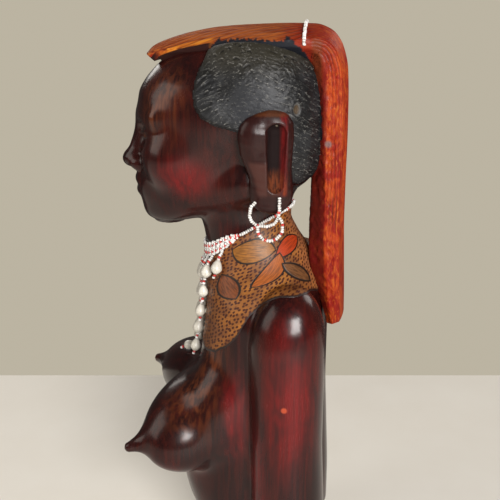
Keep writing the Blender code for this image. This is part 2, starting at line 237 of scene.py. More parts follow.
@dataclass(frozen=True)
class Egg:
    """An ellipsoid turned about X, Y and Z in degrees."""

    centre: tuple[float, float, float]
    radii: tuple[float, float, float]
    pose: tuple[float, float, float] = (0.0, 0.0, 0.0)

    def distance(self, x: Array, y: Array, z: Array) -> Array:
        """Measure as for a ball, with each direction scaled by its radius.

        Args:
            x, y, z: the points' coordinates in millimetres.

        Returns:
            The distance of each point, below 0 inside.
        """
        a, b, c = (math.radians(turn) for turn in self.pose)
        about_x = np.array([[1, 0, 0], [0, math.cos(a), -math.sin(a)], [0, math.sin(a), math.cos(a)]])
        about_y = np.array([[math.cos(b), 0, math.sin(b)], [0, 1, 0], [-math.sin(b), 0, math.cos(b)]])
        about_z = np.array([[math.cos(c), -math.sin(c), 0], [math.sin(c), math.cos(c), 0], [0, 0, 1]])
        turn = (about_z @ about_y @ about_x).T
        off = (x - self.centre[0], y - self.centre[1], z - self.centre[2])
        near = far = 0.0
        for row, radius in zip(turn, self.radii):
            along = row[0] * off[0] + row[1] * off[1] + row[2] * off[2]
            near = near + (along / radius) ** 2
            far = far + (along / radius ** 2) ** 2
        near, far = np.sqrt(near), np.sqrt(far)
        return near * (near - 1) / (far + 1e-9)


@dataclass(frozen=True)
class Club:
    """A bar with round ends, tapering from one radius to another."""

    start: tuple[float, float, float]
    end: tuple[float, float, float]
    start_radius: float
    end_radius: float

    def distance(self, x: Array, y: Array, z: Array) -> Array:
        """Measure from the nearest point of the bar's axis, less the radius there.

        Args:
            x, y, z: the points' coordinates in millimetres.

        Returns:
            The distance of each point, below 0 inside.
        """
        way = np.subtract(self.end, self.start)
        off = (x - self.start[0], y - self.start[1], z - self.start[2])
        t = np.clip((off[0] * way[0] + off[1] * way[1] + off[2] * way[2]) / (way @ way), 0, 1)
        gap = np.sqrt(sum((o - t * w) ** 2 for o, w in zip(off, way)))
        return gap - self.start_radius - t * (self.end_radius - self.start_radius)


@dataclass(frozen=True)
class Floor:
    """Everything on one side of a level plane."""

    height: float
    above: bool

    def distance(self, x: Array, y: Array, z: Array) -> Array:
        """Measure straight up or down."""
        return (self.height - z if self.above else z - self.height) + 0 * x + 0 * y


def melt(first: Array, second: Array, softness: float) -> Array:
    """Join two distances, with a hollow fillet of a softness where they meet.

    Args:
        first: distances from one form.
        second: distances from the other.
        softness: how far the fillet reaches, or 0 for a sharp joint.

    Returns:
        The distances from both as one.
    """
    if softness <= 0:
        return np.minimum(first, second)
    near = np.maximum(softness - np.abs(first - second), 0) / softness
    return np.minimum(first, second) - near * near * softness / 4


@dataclass(frozen=True)
class Added:
    """A form that is joined to, cut from or kept of a carving, on one side or mirrored on both."""

    form: Stack | Egg | Club | Floor
    softness: float = 0.0
    both: bool = False
    mode: str = "add"


@dataclass(frozen=True)
class Carving:
    """Forms joined, cut and trimmed in order, as a carver blocks out a figure."""

    steps: tuple[Added, ...]

    def distance(self, x: Array, y: Array, z: Array) -> Array:
        """Measure from the whole carving.

        Args:
            x, y, z: the points' coordinates in millimetres.

        Returns:
            The distance of each point, below 0 inside.
        """
        total = None
        for step in self.steps:
            for side in (1, -1) if step.both else (1,):
                gap = step.form.distance(side * x, y, z)
                if total is None:
                    total = gap
                elif step.mode == "add":
                    total = melt(total, gap, step.softness)
                elif step.mode == "cut":
                    total = -melt(-total, gap, step.softness)
                else:
                    total = -melt(-total, -gap, step.softness)
        return total

    def slope(self, points: Array) -> Array:
        """Work out the way out of the surface, from differences of the distance.

        Args:
            points: places near the surface.

        Returns:
            The slope of the distance at each.
        """
        ways = np.array([[1, -1, -1], [-1, -1, 1], [-1, 1, -1], [1, 1, 1]], float)
        total = np.zeros_like(points)
        for way in ways:
            at = points + PROBE * way
            total += way * self.distance(at[:, 0], at[:, 1], at[:, 2])[:, None]
        return total / (4 * PROBE)

    def normals(self, points: Array) -> Array:
        """Return unit normals at points."""
        slope = self.slope(points)
        return slope / np.maximum(np.linalg.norm(slope, axis=1, keepdims=True), 1e-9)

    def settle(self, points: Array, rounds: int = 2) -> Array:
        """Move points onto the surface along its slope.

        Args:
            points: places near the surface.
            rounds: how often they are moved.

        Returns:
            The moved points.
        """
        flattest, longest = 0.2, 0.6
        for _ in range(rounds):
            slope = self.slope(points)
            gap = self.distance(points[:, 0], points[:, 1], points[:, 2])
            steep = np.maximum((slope ** 2).sum(1), flattest)
            points = points - slope * np.clip(gap / steep, -longest, longest)[:, None]
        return points


def net(carving: Carving, low: tuple[float, float, float], high: tuple[float, float, float],
        step: float) -> Shape:
    """Net the surface of a carving in a box: a point to each cell that it crosses, a quad to each edge.

    Each point is the mean of the places where the surface crosses its cell's edges, and is then settled
    onto the surface. The carving is closed where it leaves the box.

    Args:
        carving: the forms.
        low: the box's lowest corner.
        high: its highest corner.
        step: the size of a cell.

    Returns:
        The closed surface.
    """
    axes = [np.arange(a, b + step, step) for a, b in zip(low, high)]
    gaps = carving.distance(axes[0][:, None, None], axes[1][None, :, None], axes[2][None, None, :])
    gaps = np.array(np.broadcast_to(gaps, [len(axis) for axis in axes]))
    for axis in range(3):
        edge = np.moveaxis(gaps, axis, 0)
        edge[0] = np.maximum(edge[0], step / 2)
        edge[-1] = np.maximum(edge[-1], step / 2)
    inside = gaps < 0
    cells, crossings, turned = [], [], []
    for axis in range(3):
        before = np.moveaxis(inside, axis, 0)[:-1]
        after = np.moveaxis(inside, axis, 0)[1:]
        found = np.argwhere(before != after)
        first = np.empty_like(found)
        order = [axis] + [other for other in range(3) if other != axis]
        first[:, order] = found
        second = first.copy()
        second[:, axis] += 1
        near, far = gaps[tuple(first.T)], gaps[tuple(second.T)]
        place = np.stack([axes[n][first[:, n]] for n in range(3)], 1)
        place[:, axis] += step * near / (near - far)
        one, two = (axis + 1) % 3, (axis + 2) % 3
        around = np.repeat(first[:, None, :], 4, axis=1)
        around[:, :, one] += np.array([-1, 0, 0, -1])
        around[:, :, two] += np.array([-1, -1, 0, 0])
        flipped = near >= 0
        around[flipped] = around[flipped][:, ::-1]
        cells.append(around)
        crossings.append(place)
        turned.append(flipped)
    cells = np.concatenate(cells)
    crossings = np.concatenate(crossings)
    shape = gaps.shape
    keys = np.ravel_multi_index((cells[..., 0], cells[..., 1], cells[..., 2]), shape, mode="clip")
    _, corner = np.unique(keys.ravel(), return_inverse=True)
    quads = corner.reshape(-1, 4)
    count = np.bincount(quads.ravel())
    points = np.stack([np.bincount(quads.ravel(), weights=np.repeat(crossings[:, n], 4)) / count
                       for n in range(3)], 1)
    LOG.info("net of %d points", len(points))
    return Shape(carving.settle(points), [quads])


def sheet(surface: Shape, lift: Array, normals: Array, depth: float, kept: Array) -> Shape:
    """Raise a part of a surface as a thin carved layer, closed behind.

    Args:
        surface: the surface that it lies on.
        lift: how far each point stands out of it.
        normals: the way out at each point.
        depth: how deep the layer's back lies.
        kept: which points the layer covers.

    Returns:
        The layer: a front at the lift, a back at the depth and a rim between them.
    """
    quads = surface.faces[0]
    quads = quads[kept[quads].all(1)]
    used, index = np.unique(quads, return_inverse=True)
    quads = index.reshape(-1, 4)
    front = surface.points[used] + normals[used] * lift[used][:, None]
    back = surface.points[used] - normals[used] * depth
    edges = np.concatenate([quads[:, [n, (n + 1) % 4]] for n in range(4)])
    size = len(used)
    forward = edges[:, 0] * size + edges[:, 1]
    backward = edges[:, 1] * size + edges[:, 0]
    rim = edges[~np.isin(forward, backward)]
    wall = np.stack([rim[:, 1], rim[:, 0], rim[:, 0] + size, rim[:, 1] + size], 1)
    marks = {name: np.concatenate([values[used], values[used]]) for name, values in surface.marks.items()}
    return Shape(np.concatenate([front, back]), [quads, quads[:, ::-1] + size, wall], marks)


# The carved forms: the same tables as the solid block.

TRUNK = Stack((
    (-4, 0, 54, -13, 59, 2.8), (20, 0, 55, -16, 60, 2.8), (42, 0, 56, -21, 61, 2.6),
    (58, 0, 57, -29, 61.5, 2.5), (72, 0, 57, -35.5, 62, 2.4), (86, 0, 57, -38, 62, 2.4),
    (104, 0, 57, -36, 62, 2.5), (130, 0, 56, -32, 62, 2.6), (160, 0, 56, -27, 62.5, 2.6),
    (190, 0, 56, -22, 63, 2.4), (210, 0, 56, -19.5, 62.5, 2.2), (222, 0, 54, -19, 61.5, 2.1),
    (231, 0, 49, -19, 60, 2.1), (239, 0, 42, -19, 57.5, 2.0), (247, 0, 35, -19, 54, 2.0),
    (256, 0, 30, -19.5, 50, 2.0), (266, 0, 27, -21, 43.5, 2.0), (278, 0, 25.5, -24, 38.5, 2.0),
    (290, 0, 26, -26, 40, 2.0), (302, 0, 28, -24, 46, 2.0), (315, 0, 28, -20, 50, 2.0)))
ARM = Stack((
    (2.5, 51, 10, 33, 55, 2.2), (4, 51, 15, 28, 60, 2.2), (8, 51, 20, 22, 66, 2.2),
    (16, 51, 23, 18, 69.5, 2.2), (40, 51, 24, 16.5, 69.5, 2.2), (90, 51, 24, 17, 67.5, 2.2),
    (140, 51, 24, 16.5, 65.5, 2.2), (180, 51, 24, 15.5, 65.5, 2.2), (203, 51, 24, 15, 65.5, 2.2),
    (216, 51, 22.5, 17, 64.5, 2.2), (227, 50.5, 19.5, 21, 62, 2.2), (235, 49.5, 15.5, 26.5, 58, 2.2),
    (240, 49, 10, 32, 53, 2.2), (242.5, 48.5, 5, 37, 48, 2.2)))
FACE = Stack((
    (273, 0, 8, -54, -34, 2.1), (276, 0, 13, -58, -22, 2.1), (283, 0, 19.5, -59.5, -8, 2.1),
    (294, 0, 26.5, -60.5, 2, 2.1), (308, 0, 32.5, -61.5, 12, 2.1), (322, 0, 36, -61.5, 22, 2.1),
    (336, 0, 37.5, -61, 30, 2.1), (350, 0, 38, -62.5, 34, 2.1), (360, 0, 36.5, -62, 34, 2.1),
    (368, 0, 33.5, -57.5, 31, 2.1), (376, 0, 28, -49, 26, 2.1), (384, 0, 18, -36, 16, 2.1),
    (389, 0, 6, -18, 4, 2.1)))
HAIR = Stack((
    (299, 0, 16, 24, 45, 2.3), (304, 0, 25, 14, 50.5, 2.3), (310, 0, 31, 6, 55, 2.3),
    (318, 0, 36, -4, 58.5, 2.3), (328, 0, 39.5, -12, 60, 2.3), (342, 0, 41, -17, 60, 2.3),
    (356, 0, 41, -20, 59.5, 2.3), (368, 0, 40, -22, 57.5, 2.3), (379, 0, 37.5, -22, 53.5, 2.3),
    (387, 0, 33.5, -20, 48, 2.3), (392.5, 0, 28, -16, 42, 2.3), (396.5, 0, 19, -8, 33, 2.3),
    (398.5, 0, 9, 4, 22, 2.3)))
EAR = Stack((
    (290.5, 36, 7, 25, 32, 3), (292, 36, 9, 20, 36, 3), (296, 36, 10, 15.5, 40, 3),
    (303, 36.5, 10, 14, 42, 3), (311, 37, 10, 14, 41.5, 3), (320, 37.5, 10, 11.5, 41, 3),
    (330, 38, 10, 8, 41.5, 3), (340, 38, 10, 7.5, 42, 3), (347, 38, 9.5, 10, 41.5, 3),
    (352, 38, 8.5, 14.5, 39.5, 3), (355, 38, 7, 20, 36, 3), (356.5, 38, 5, 25, 31, 3)))
SKULL = Egg((0, -3, 347), (39, 61.5, 48))
BREAST = Egg((27.5, -18.5, 135), (29, 34, 53), (-64, -48, 30))
FAR_BREAST = Egg((27.5, -23, 136), (29, 34, 53), (-64, -48, 30))
BREAST_ROOT = Egg((34, -6, 145), (27, 24, 34))
NIPPLE = Club((51, -49, 127), (61, -67, 124), 10.5, 3.6)
FAR_NIPPLE = Club((51, -53, 133.5), (61, -71, 130.5), 10.5, 3.6)


def mirrored(form: Egg | Club) -> Egg | Club:
    """Mirror a form to the figure's other side.

    Args:
        form: a form on the figure's left side.

    Returns:
        The form on the right side.
    """
    if isinstance(form, Egg):
        x, y, z = form.centre
        return Egg((-x, y, z), form.radii, (form.pose[0], -form.pose[1], -form.pose[2]))
    (a, b, c), (d, e, f) = form.start, form.end
    return Club((-a, b, c), (-d, e, f), form.start_radius, form.end_radius)


BODY = Carving((
    Added(TRUNK),
    Added(BREAST, 9), Added(mirrored(FAR_BREAST), 9), Added(BREAST_ROOT, 12, both=True),
    Added(NIPPLE, 7), Added(mirrored(FAR_NIPPLE), 7),
    Added(ARM, 3.5, both=True)))

HEAD = Carving((
    Added(FACE), Added(SKULL, 3), Added(TRUNK, 7),
    Added(Club((7, -42, 288), (22, 12, 306), 13.5, 15), 9, both=True),
    Added(Egg((0, -51, 282.5), (12, 11, 9)), 9),
    Added(Egg((20, -40.5, 320), (15, 15, 15)), 14, both=True),
    Added(Egg((16.3, -64, 334.5), (10.5, 7.5, 7.5)), 7, both=True, mode="cut"),
    Added(Club((7, -57.5, 345.5), (27, -47.5, 347), 3.2, 3.4), 9, both=True),
    Added(Egg((16.3, -49.5, 334.5), (9, 9.4, 6.2)), 1.5, both=True),
    Added(Club((0, -59.5, 343), (0, -67.5, 317), 4.4, 6.0), 8),
    Added(Egg((0, -69.8, 314), (6.8, 7, 5.6)), 5),
    Added(Egg((7, -63.5, 312.2), (4.8, 6.6, 4.6)), 3.5, both=True),
    Added(Egg((3.5, -68, 308.6), (1.7, 3.2, 1.7)), 0.6, both=True, mode="cut"),
    Added(Egg((0, -55.5, 298), (17, 10.5, 12)), 8),
    Added(Egg((0, -61.3, 301.2), (12.8, 6.6, 4.3), (-12, 0, 0)), 3),
    Added(Egg((0, -60.8, 294.4), (11.6, 6.6, 4.5), (12, 0, 0)), 2.2),
    Added(Egg((0, -67.6, 297.8), (15, 2.2, 0.7)), 0.6, mode="cut"),
    Added(HAIR, 2),
    Added(Club((47.5, 31.8, 342), (47.5, 31.4, 311), 7.6, 6.2), 1, both=True, mode="cut")))

EAR_FORM = Carving((
    Added(EAR),
    Added(Club((47.5, 31.8, 342.5), (47.5, 31.4, 310), 6.5, 5.0), 1.2, mode="cut"),
    Added(Club((50.2, 6, 326.8), (49.6, 26, 325.2), 2.2, 1.6), 1.5, mode="cut"),
    Added(Egg((43, 17, 340), (6.4, 9.5, 12.5)), 2.5),
    Added(Club((48.6, 24, 302.6), (48.2, 40, 302), 1.2, 1.0), 1, mode="cut"),
    Added(Club((48.4, 12, 301.6), (48.2, 27, 300.4), 1.3, 1.1), 1, mode="cut")))


# Shader recipes.


class Value:
    """A number that varies over a surface, for sums written as Python expressions."""

    def __init__(self, recipe: "Recipe", socket: "bpy.types.NodeSocket") -> None:
        """Wrap an output socket of a recipe."""
        self.recipe = recipe
        self.socket = socket

    def combined(self, operation: str, first: "Value | float", second: "Value | float") -> "Value":
        """Add a Math node of an operation."""
        return self.recipe.node("ShaderNodeMath", {"operation": operation}, {0: first, 1: second})

    def __add__(self, other: "Value | float") -> "Value":
        """Return the sum."""
        return self.combined("ADD", self, other)

    __radd__ = __add__

    def __sub__(self, other: "Value | float") -> "Value":
        """Return the difference."""
        return self.combined("SUBTRACT", self, other)

    def __rsub__(self, other: "Value | float") -> "Value":
        """Return the difference the other way round."""
        return self.combined("SUBTRACT", other, self)

    def __mul__(self, other: "Value | float") -> "Value":
        """Return the product."""
        return self.combined("MULTIPLY", self, other)

    __rmul__ = __mul__

    def __truediv__(self, other: "Value | float") -> "Value":
        """Return the quotient."""
        return self.combined("DIVIDE", self, other)

    def __pow__(self, other: float) -> "Value":
        """Return the power."""
        return self.combined("POWER", self, other)

    def __abs__(self) -> "Value":
        """Return the size without its sign."""
        return self.recipe.node("ShaderNodeMath", {"operation": "ABSOLUTE"}, {0: self})

    def least(self, other: "Value | float") -> "Value":
        """Return the smaller one."""
        return self.combined("MINIMUM", self, other)

    def most(self, other: "Value | float") -> "Value":
        """Return the larger one."""
        return self.combined("MAXIMUM", self, other)

    def rise(self, low: float, high: float) -> "Value":
        """Return 0 below low, 1 above high and a smooth rise between them."""
        return self.recipe.node("ShaderNodeMapRange", {"interpolation_type": "SMOOTHSTEP"},
                                {0: self, 1: low, 2: high, 3: 0.0, 4: 1.0})


class Recipe:
    """One material's nodes."""

    def __init__(self, name: str) -> None:
        """Start a material with its Principled shader.

        Args:
            name: the material's name.
        """
        self.material = bpy.data.materials.new(name)
        self.material.use_nodes = True
        self.tree = self.material.node_tree
        self.shader = self.tree.nodes["Principled BSDF"]

    def node(self, kind: str, settings: dict | None = None, inputs: dict | None = None,
             output: int | str = 0) -> Value:
        """Add a node.

        Args:
            kind: its type.
            settings: its properties, set first.
            inputs: values or links of its sockets.
            output: the output that is wanted.

        Returns:
            That output.
        """
        made = self.tree.nodes.new(kind)
        for name, setting in (settings or {}).items():
            setattr(made, name, setting)
        for key, given in (inputs or {}).items():
            self.put(made.inputs[key], given)
        return Value(self, made.outputs[output])

    def put(self, socket: "bpy.types.NodeSocket", given: "Value | float | tuple") -> None:
        """Link or set a socket.

        Args:
            socket: the input.
            given: the value or link that it gets.
        """
        if isinstance(given, Value):
            self.tree.links.new(given.socket, socket)
        elif isinstance(given, tuple) and len(given) == 3 and socket.type == "RGBA":
            socket.default_value = (*given, 1.0)
        else:
            socket.default_value = given

    def place(self, scale: tuple[float, float, float] = (1, 1, 1),
              turn: tuple[float, float, float] = (0, 0, 0)) -> Value:
        """Read Object coordinates in millimetres.

        Args:
            scale: how much each direction is scaled.
            turn: the turn about each axis.

        Returns:
            The coordinates.
        """
        spot = self.node("ShaderNodeTexCoord", output="Object")
        factors = tuple(1000.0 * part for part in scale)
        return self.node("ShaderNodeMapping", {}, {"Vector": spot, "Scale": factors, "Rotation": turn})

    def axes(self, vector: Value) -> tuple[Value, Value, Value]:
        """Split a vector.

        Args:
            vector: the vector.

        Returns:
            Its three parts.
        """
        split = self.tree.nodes.new("ShaderNodeSeparateXYZ")
        self.tree.links.new(vector.socket, split.inputs[0])
        return Value(self, split.outputs[0]), Value(self, split.outputs[1]), Value(self, split.outputs[2])

    def vector(self, x: Value | float, y: Value | float, z: Value | float) -> Value:
        """Join three numbers into a vector."""
        return self.node("ShaderNodeCombineXYZ", {}, {0: x, 1: y, 2: z})

    def mark(self, name: str) -> Value:
        """Read a number kept on the mesh."""
        return self.node("ShaderNodeAttribute", {"attribute_name": name}, output="Fac")

    def noise(self, spot: Value, size: float, detail: float = 3.0, twist: float = 0.0) -> Value:
        """Return a cloudy pattern whose clouds are of a size in millimetres."""
        return self.node("ShaderNodeTexNoise", {"noise_dimensions": "3D"},
                         {"Vector": spot, "Scale": 1 / size, "Detail": detail, "Distortion": twist})

    def mix(self, share: Value | float, first: "Value | Colour", second: "Value | Colour") -> Value:
        """Blend two colours.

        Args:
            share: how much of the second is taken, from 0 to 1.
            first: one colour.
            second: the other.

        Returns:
            The blend.
        """
        made = self.tree.nodes.new("ShaderNodeMix")
        made.data_type = "RGBA"
        self.put(made.inputs[0], share)
        self.put(made.inputs[6], first)
        self.put(made.inputs[7], second)
        return Value(self, made.outputs[2])

    def gap(self, spot: Value, centre: tuple[float, float, float]) -> Value:
        """Return the distance from a point in millimetres."""
        return self.node("ShaderNodeVectorMath", {"operation": "DISTANCE"}, {0: spot, 1: centre}, "Value")

    def finish(self, colour: "Value | Colour", roughness: "Value | float", relief: Value | None = None,
               depth: float = 0.3, coat: float = 0.0, coat_roughness: float = 0.1,
               specular: float = 0.5) -> "bpy.types.Material":
        """Set the shader and return the material.

        Args:
            colour: the base colour.
            roughness: the roughness.
            relief: a height between 0 and 1 for fine bumps.
            depth: the height of those bumps in millimetres.
            coat: the weight of the wax or varnish over it.
            coat_roughness: how dull that coat is.
            specular: the strength of the reflection under it.

        Returns:
            The material.
        """
        self.put(self.shader.inputs["Base Color"], colour)
        self.put(self.shader.inputs["Roughness"], roughness)
        self.put(self.shader.inputs["Coat Weight"], coat)
        self.put(self.shader.inputs["Coat Roughness"], coat_roughness)
        self.put(self.shader.inputs["Specular IOR Level"], specular)
        if relief is not None:
            bump = self.node("ShaderNodeBump", {}, {"Height": relief, "Distance": depth * MILLIMETRE,
                                                    "Strength": 1.0}, "Normal")
            self.put(self.shader.inputs["Normal"], bump)
        return self.material


class Side(Enum):
    """The figure's two sides."""

    LEFT = 1
    RIGHT = -1


@dataclass(frozen=True)
class StainedWood:
    """Waxed hardwood, nearly black, that glows red where the stain is thin."""

    dark: Colour = (0.012, 0.003, 0.003)
    warm: Colour = (0.040, 0.006, 0.004)
    brown: Colour = (0.12, 0.030, 0.009)
    glow: Colour = (0.15, 0.0015, 0.0025)
    # Middle, reach and how much the patch is drawn out up and down.
    glows: Table = ((75, 45, 172, 28, 0.3), (66, 24, 110, 14, 0.25), (50, -40, 106, 30, 0.9),
                    (36, -31, 309, 29, 1.4), (33, -2, 266, 16, 0.8), (57, 6, 150, 13, 0.25))
    brown_spots: Table = ((34, -44, 362, 26, 0.6), (56, -24, 170, 30, 0.5), (44, -10, 180, 22, 0.5))
    knot: tuple[float, float, float] = (74.9, 40.5, 167.3)
    # Each eye's middle across and up, half its width, and the rise and fall of its lids.
    eyes: tuple[float, float, float, float, float] = (16.3, 334.2, 8.4, 3.3, 2.3)

    @staticmethod
    def patches(r: Recipe, spot: Value, table: Table, core: float) -> Value:
        """Lay soft patches, each 1 in its middle and 0 at its reach.

        Args:
            r: the recipe.
            spot: Object coordinates.
            table: the patches.
            core: the share of the reach over which a patch stays full.

        Returns:
            The strongest patch at each place.
        """
        x, y, z = r.axes(spot)
        total: Value | None = None
        for middle_x, middle_y, middle_z, reach, drawn in table:
            shrunk = r.vector(abs(x), y, z * drawn)
            near = 1 - r.gap(shrunk, (middle_x, middle_y, middle_z * drawn)).rise(core * reach, reach)
            total = near if total is None else total.most(near)
        return total

    def material(self) -> "bpy.types.Material":
        """Build the nodes.

        Returns:
            The material.
        """
        r = Recipe("stained wood")
        spot = r.place()
        grain = r.noise(r.place((1, 1, 0.06)), 2.4, 5, 0.5)
        broad = r.noise(r.place((1, 1, 0.45)), 24, 3, 1.0)
        fine = r.noise(r.place((1, 1, 0.05)), 0.5, 3)
        red = self.patches(r, spot, self.glows, 0.1)
        red = red * (0.3 + 0.6 * broad.rise(0.35, 0.65)) * (0.6 + 0.4 * grain.rise(0.35, 0.65))
        streak = r.noise(r.place((1, 1, 0.03)), 3.6, 3, 0.2)
        brown = self.patches(r, spot, self.brown_spots, 0.0) * (0.1 + 0.8 * streak.rise(0.4, 0.64))
        tone = grain.rise(0.4, 0.72) * 0.5 + broad.rise(0.42, 0.68) * 0.5
        colour = r.mix(tone, self.dark, self.warm)
        colour = r.mix((brown * 0.85).least(1.0), colour, self.brown)
        colour = r.mix((red * 0.95).least(1.0), colour, self.glow)
        knot = 1 - r.gap(spot, self.knot).rise(1.2, 2.6)
        colour = r.mix(knot * 0.8, colour, (0.42, 0.06, 0.02))
        line, inside = self.eye(r, spot)
        # The ball between the lids is painted a lighter amber: a painted reflection.
        colour = r.mix(inside * 0.7, colour, (0.10, 0.028, 0.012))
        colour = r.mix(line, colour, (0.004, 0.0015, 0.0015))
        rough = 0.15 + 0.12 * broad + 0.08 * fine
        relief = grain * 0.05 + fine * 0.05 - line * 0.9 - inside * 0.25 + 1.2
        return r.finish(colour, rough, relief, 0.45, coat=0.15, coat_roughness=0.14, specular=0.24)

    def eye(self, r: Recipe, spot: Value) -> tuple[Value, Value]:
        """Return the incised lines of each eye and the ball between the lids.

        Both lids are parabolas, the upper one taller, and the crease is one more above it. The iris is a
        ring with a round pupil.

        Args:
            r: the recipe.
            spot: Object coordinates.

        Returns:
            The lines, and the ball.
        """
        x, y, z = r.axes(spot)
        middle_x, middle_z, half, tall, low = self.eyes
        off = (abs(x) - middle_x) / half
        bow = (1 - off * off).most(0.0)
        up = z - middle_z
        lid = (up - tall * bow).most(0 - low * bow - up)
        front = (1 - y.rise(-46.0, -44.0)) * (1 - abs(off).rise(1.0, 1.12))
        inside = (1 - lid.rise(-0.35, 0.0)) * front
        edge = (1 - abs(lid).rise(0.16, 0.55)) * front
        crease = (1 - abs(up - 1.25 * tall * bow - 1.5).rise(0.1, 0.6)) * front * 0.55
        ring = r.gap(r.vector(abs(x), 0.0, z), (middle_x - 0.4, 0.0, middle_z + 0.6))
        iris = (1 - abs(ring - 2.5).rise(0.1, 0.4)).most(1 - ring.rise(0.8, 1.2)) * inside
        return edge.most(crease).most(iris * 0.8), inside


@dataclass(frozen=True)
class EarWood:
    """The ear: dark outside, painted shade in the hollow with a red rear wall painted as lit, and orange
    top edges that are rubbed and carry a painted highlight.
    """

    def material(self) -> "bpy.types.Material":
        """Build the nodes.

        Returns:
            The material.
        """
        r = Recipe("ear wood")
        x, y, z = r.axes(r.place())
        grain = r.noise(r.place((1, 1, 0.15)), 1.4, 4, 0.4)
        marks = r.noise(r.place((0.3, 0.3, 1.6)), 2.2, 3, 0.6)
        colour = r.mix(grain, (0.011, 0.0035, 0.0035), (0.03, 0.008, 0.0065))
        # Deep in the hollow the wood is painted near black: painted shade.
        hollow = (1 - abs(y - 32.0).rise(5.0, 7.5)) * (1 - abs(x).rise(45.4, 47.0)) * z.rise(302.0, 305.0)
        colour = r.mix(hollow * 0.95, colour, (0.006, 0.002, 0.002))
        # The hollow's rear wall faces forward and is painted deep red as if lit: painted light.
        wall = hollow * y.rise(32.5, 35.5)
        colour = r.mix(wall * (0.5 + 0.5 * grain.rise(0.35, 0.6)), colour, (0.11, 0.004, 0.004))
        low = hollow * (1 - z.rise(312.0, 322.0)) * grain.rise(0.3, 0.6)
        colour = r.mix(low * 0.6, colour, (0.17, 0.038, 0.010))
        # A pale spot in the upper cup of the ear: a painted glint.
        painted_glint = 1 - r.gap(r.vector(abs(x) * 0.3, y, z), (14.0, 31.5, 347.0)).rise(0.8, 1.5)
        colour = r.mix(painted_glint * 0.8, colour, (0.35, 0.30, 0.22))
        bar = (1 - abs(y - 19.5).rise(5.5, 7.5)) * (1 - abs(z - 313.5).rise(9.0, 12.5))
        bar = bar * abs(x).rise(45.5, 46.6)
        colour = r.mix(bar * 0.75, colour, (0.06, 0.021, 0.016))
        # The top edge is orange where it is rubbed, and the same band is a painted highlight.
        top = z.rise(352.2, 354.2)
        colour = r.mix(top * (0.3 + 0.5 * grain), colour, (0.10, 0.03, 0.010))
        return r.finish(colour, 0.26 + 0.14 * grain + 0.5 * hollow, grain * 0.6 + marks * 0.4, 0.1,
                        coat=0.10 - 0.10 * hollow, coat_roughness=0.18, specular=0.18)


@dataclass(frozen=True)
class BlackHair:
    """Black-stained carved hair, with pale scratches, a painted highlight on the ridges of the cuts,
    painted shade in their grooves, and painted blue-grey and olive sheen.
    """

    knot: tuple[float, float, float] = HAIR_KNOT

    def material(self) -> "bpy.types.Material":
        """Build the nodes.

        Returns:
            The material.
        """
        r = Recipe("black hair")
        x, y, z = r.axes(r.place())
        cut = r.mark("cut")
        broad = r.noise(r.place(), 14, 3, 0.5)
        fine = r.noise(r.place(), 0.9, 3)
        scratch = r.noise(r.vector(r.mark("around") * 0.35, r.mark("rise"), 0.0), 1.3, 3, 1.8)
        colour = r.mix(broad.rise(0.35, 0.7), (0.006, 0.006, 0.0065), (0.016, 0.0165, 0.018))
        # A blue-grey patch on the side of the hair: a painted sheen.
        painted_blue_sheen = 1 - r.gap(r.vector(abs(x), y, z), (41.0, 20.0, 354.0)).rise(6.0, 26.0)
        colour = r.mix(painted_blue_sheen * (0.25 + 0.6 * fine), colour, (0.030, 0.032, 0.039))
        # An olive band near the top of the hair: a painted sheen.
        painted_olive_sheen = z.rise(372.0, 392.0)
        colour = r.mix(painted_olive_sheen * (0.2 + 0.6 * fine), colour, (0.042, 0.036, 0.022))
        # Pale scratches, and a painted highlight on the raised ridge of each cut.
        pale = cut.rise(0.25, 0.7) * (0.15 + 0.85 * fine.rise(0.4, 0.6))
        pale = pale.most(scratch.rise(0.6, 0.68) * 0.6)
        colour = r.mix(pale * 0.9, colour, (0.17, 0.165, 0.15))
        # The grooves of the cuts are painted near black: painted shade.
        colour = r.mix((0 - cut).rise(0.1, 0.8) * 0.85, colour, (0.002, 0.002, 0.0025))
        gap = r.gap(r.vector(x, y, z * 0.6), (self.knot[0], self.knot[1], self.knot[2] * 0.6))
        colour = r.mix((1 - gap.rise(2.6, 3.2)) * 0.7, colour, (0.09, 0.085, 0.08))
        colour = r.mix((1 - gap.rise(1.7, 2.1)) * 0.9, colour, (0.05, 0.03, 0.014))
        return r.finish(colour, 0.38 + 0.2 * fine, fine * 0.6 + scratch * 0.4, 0.2, specular=0.26)


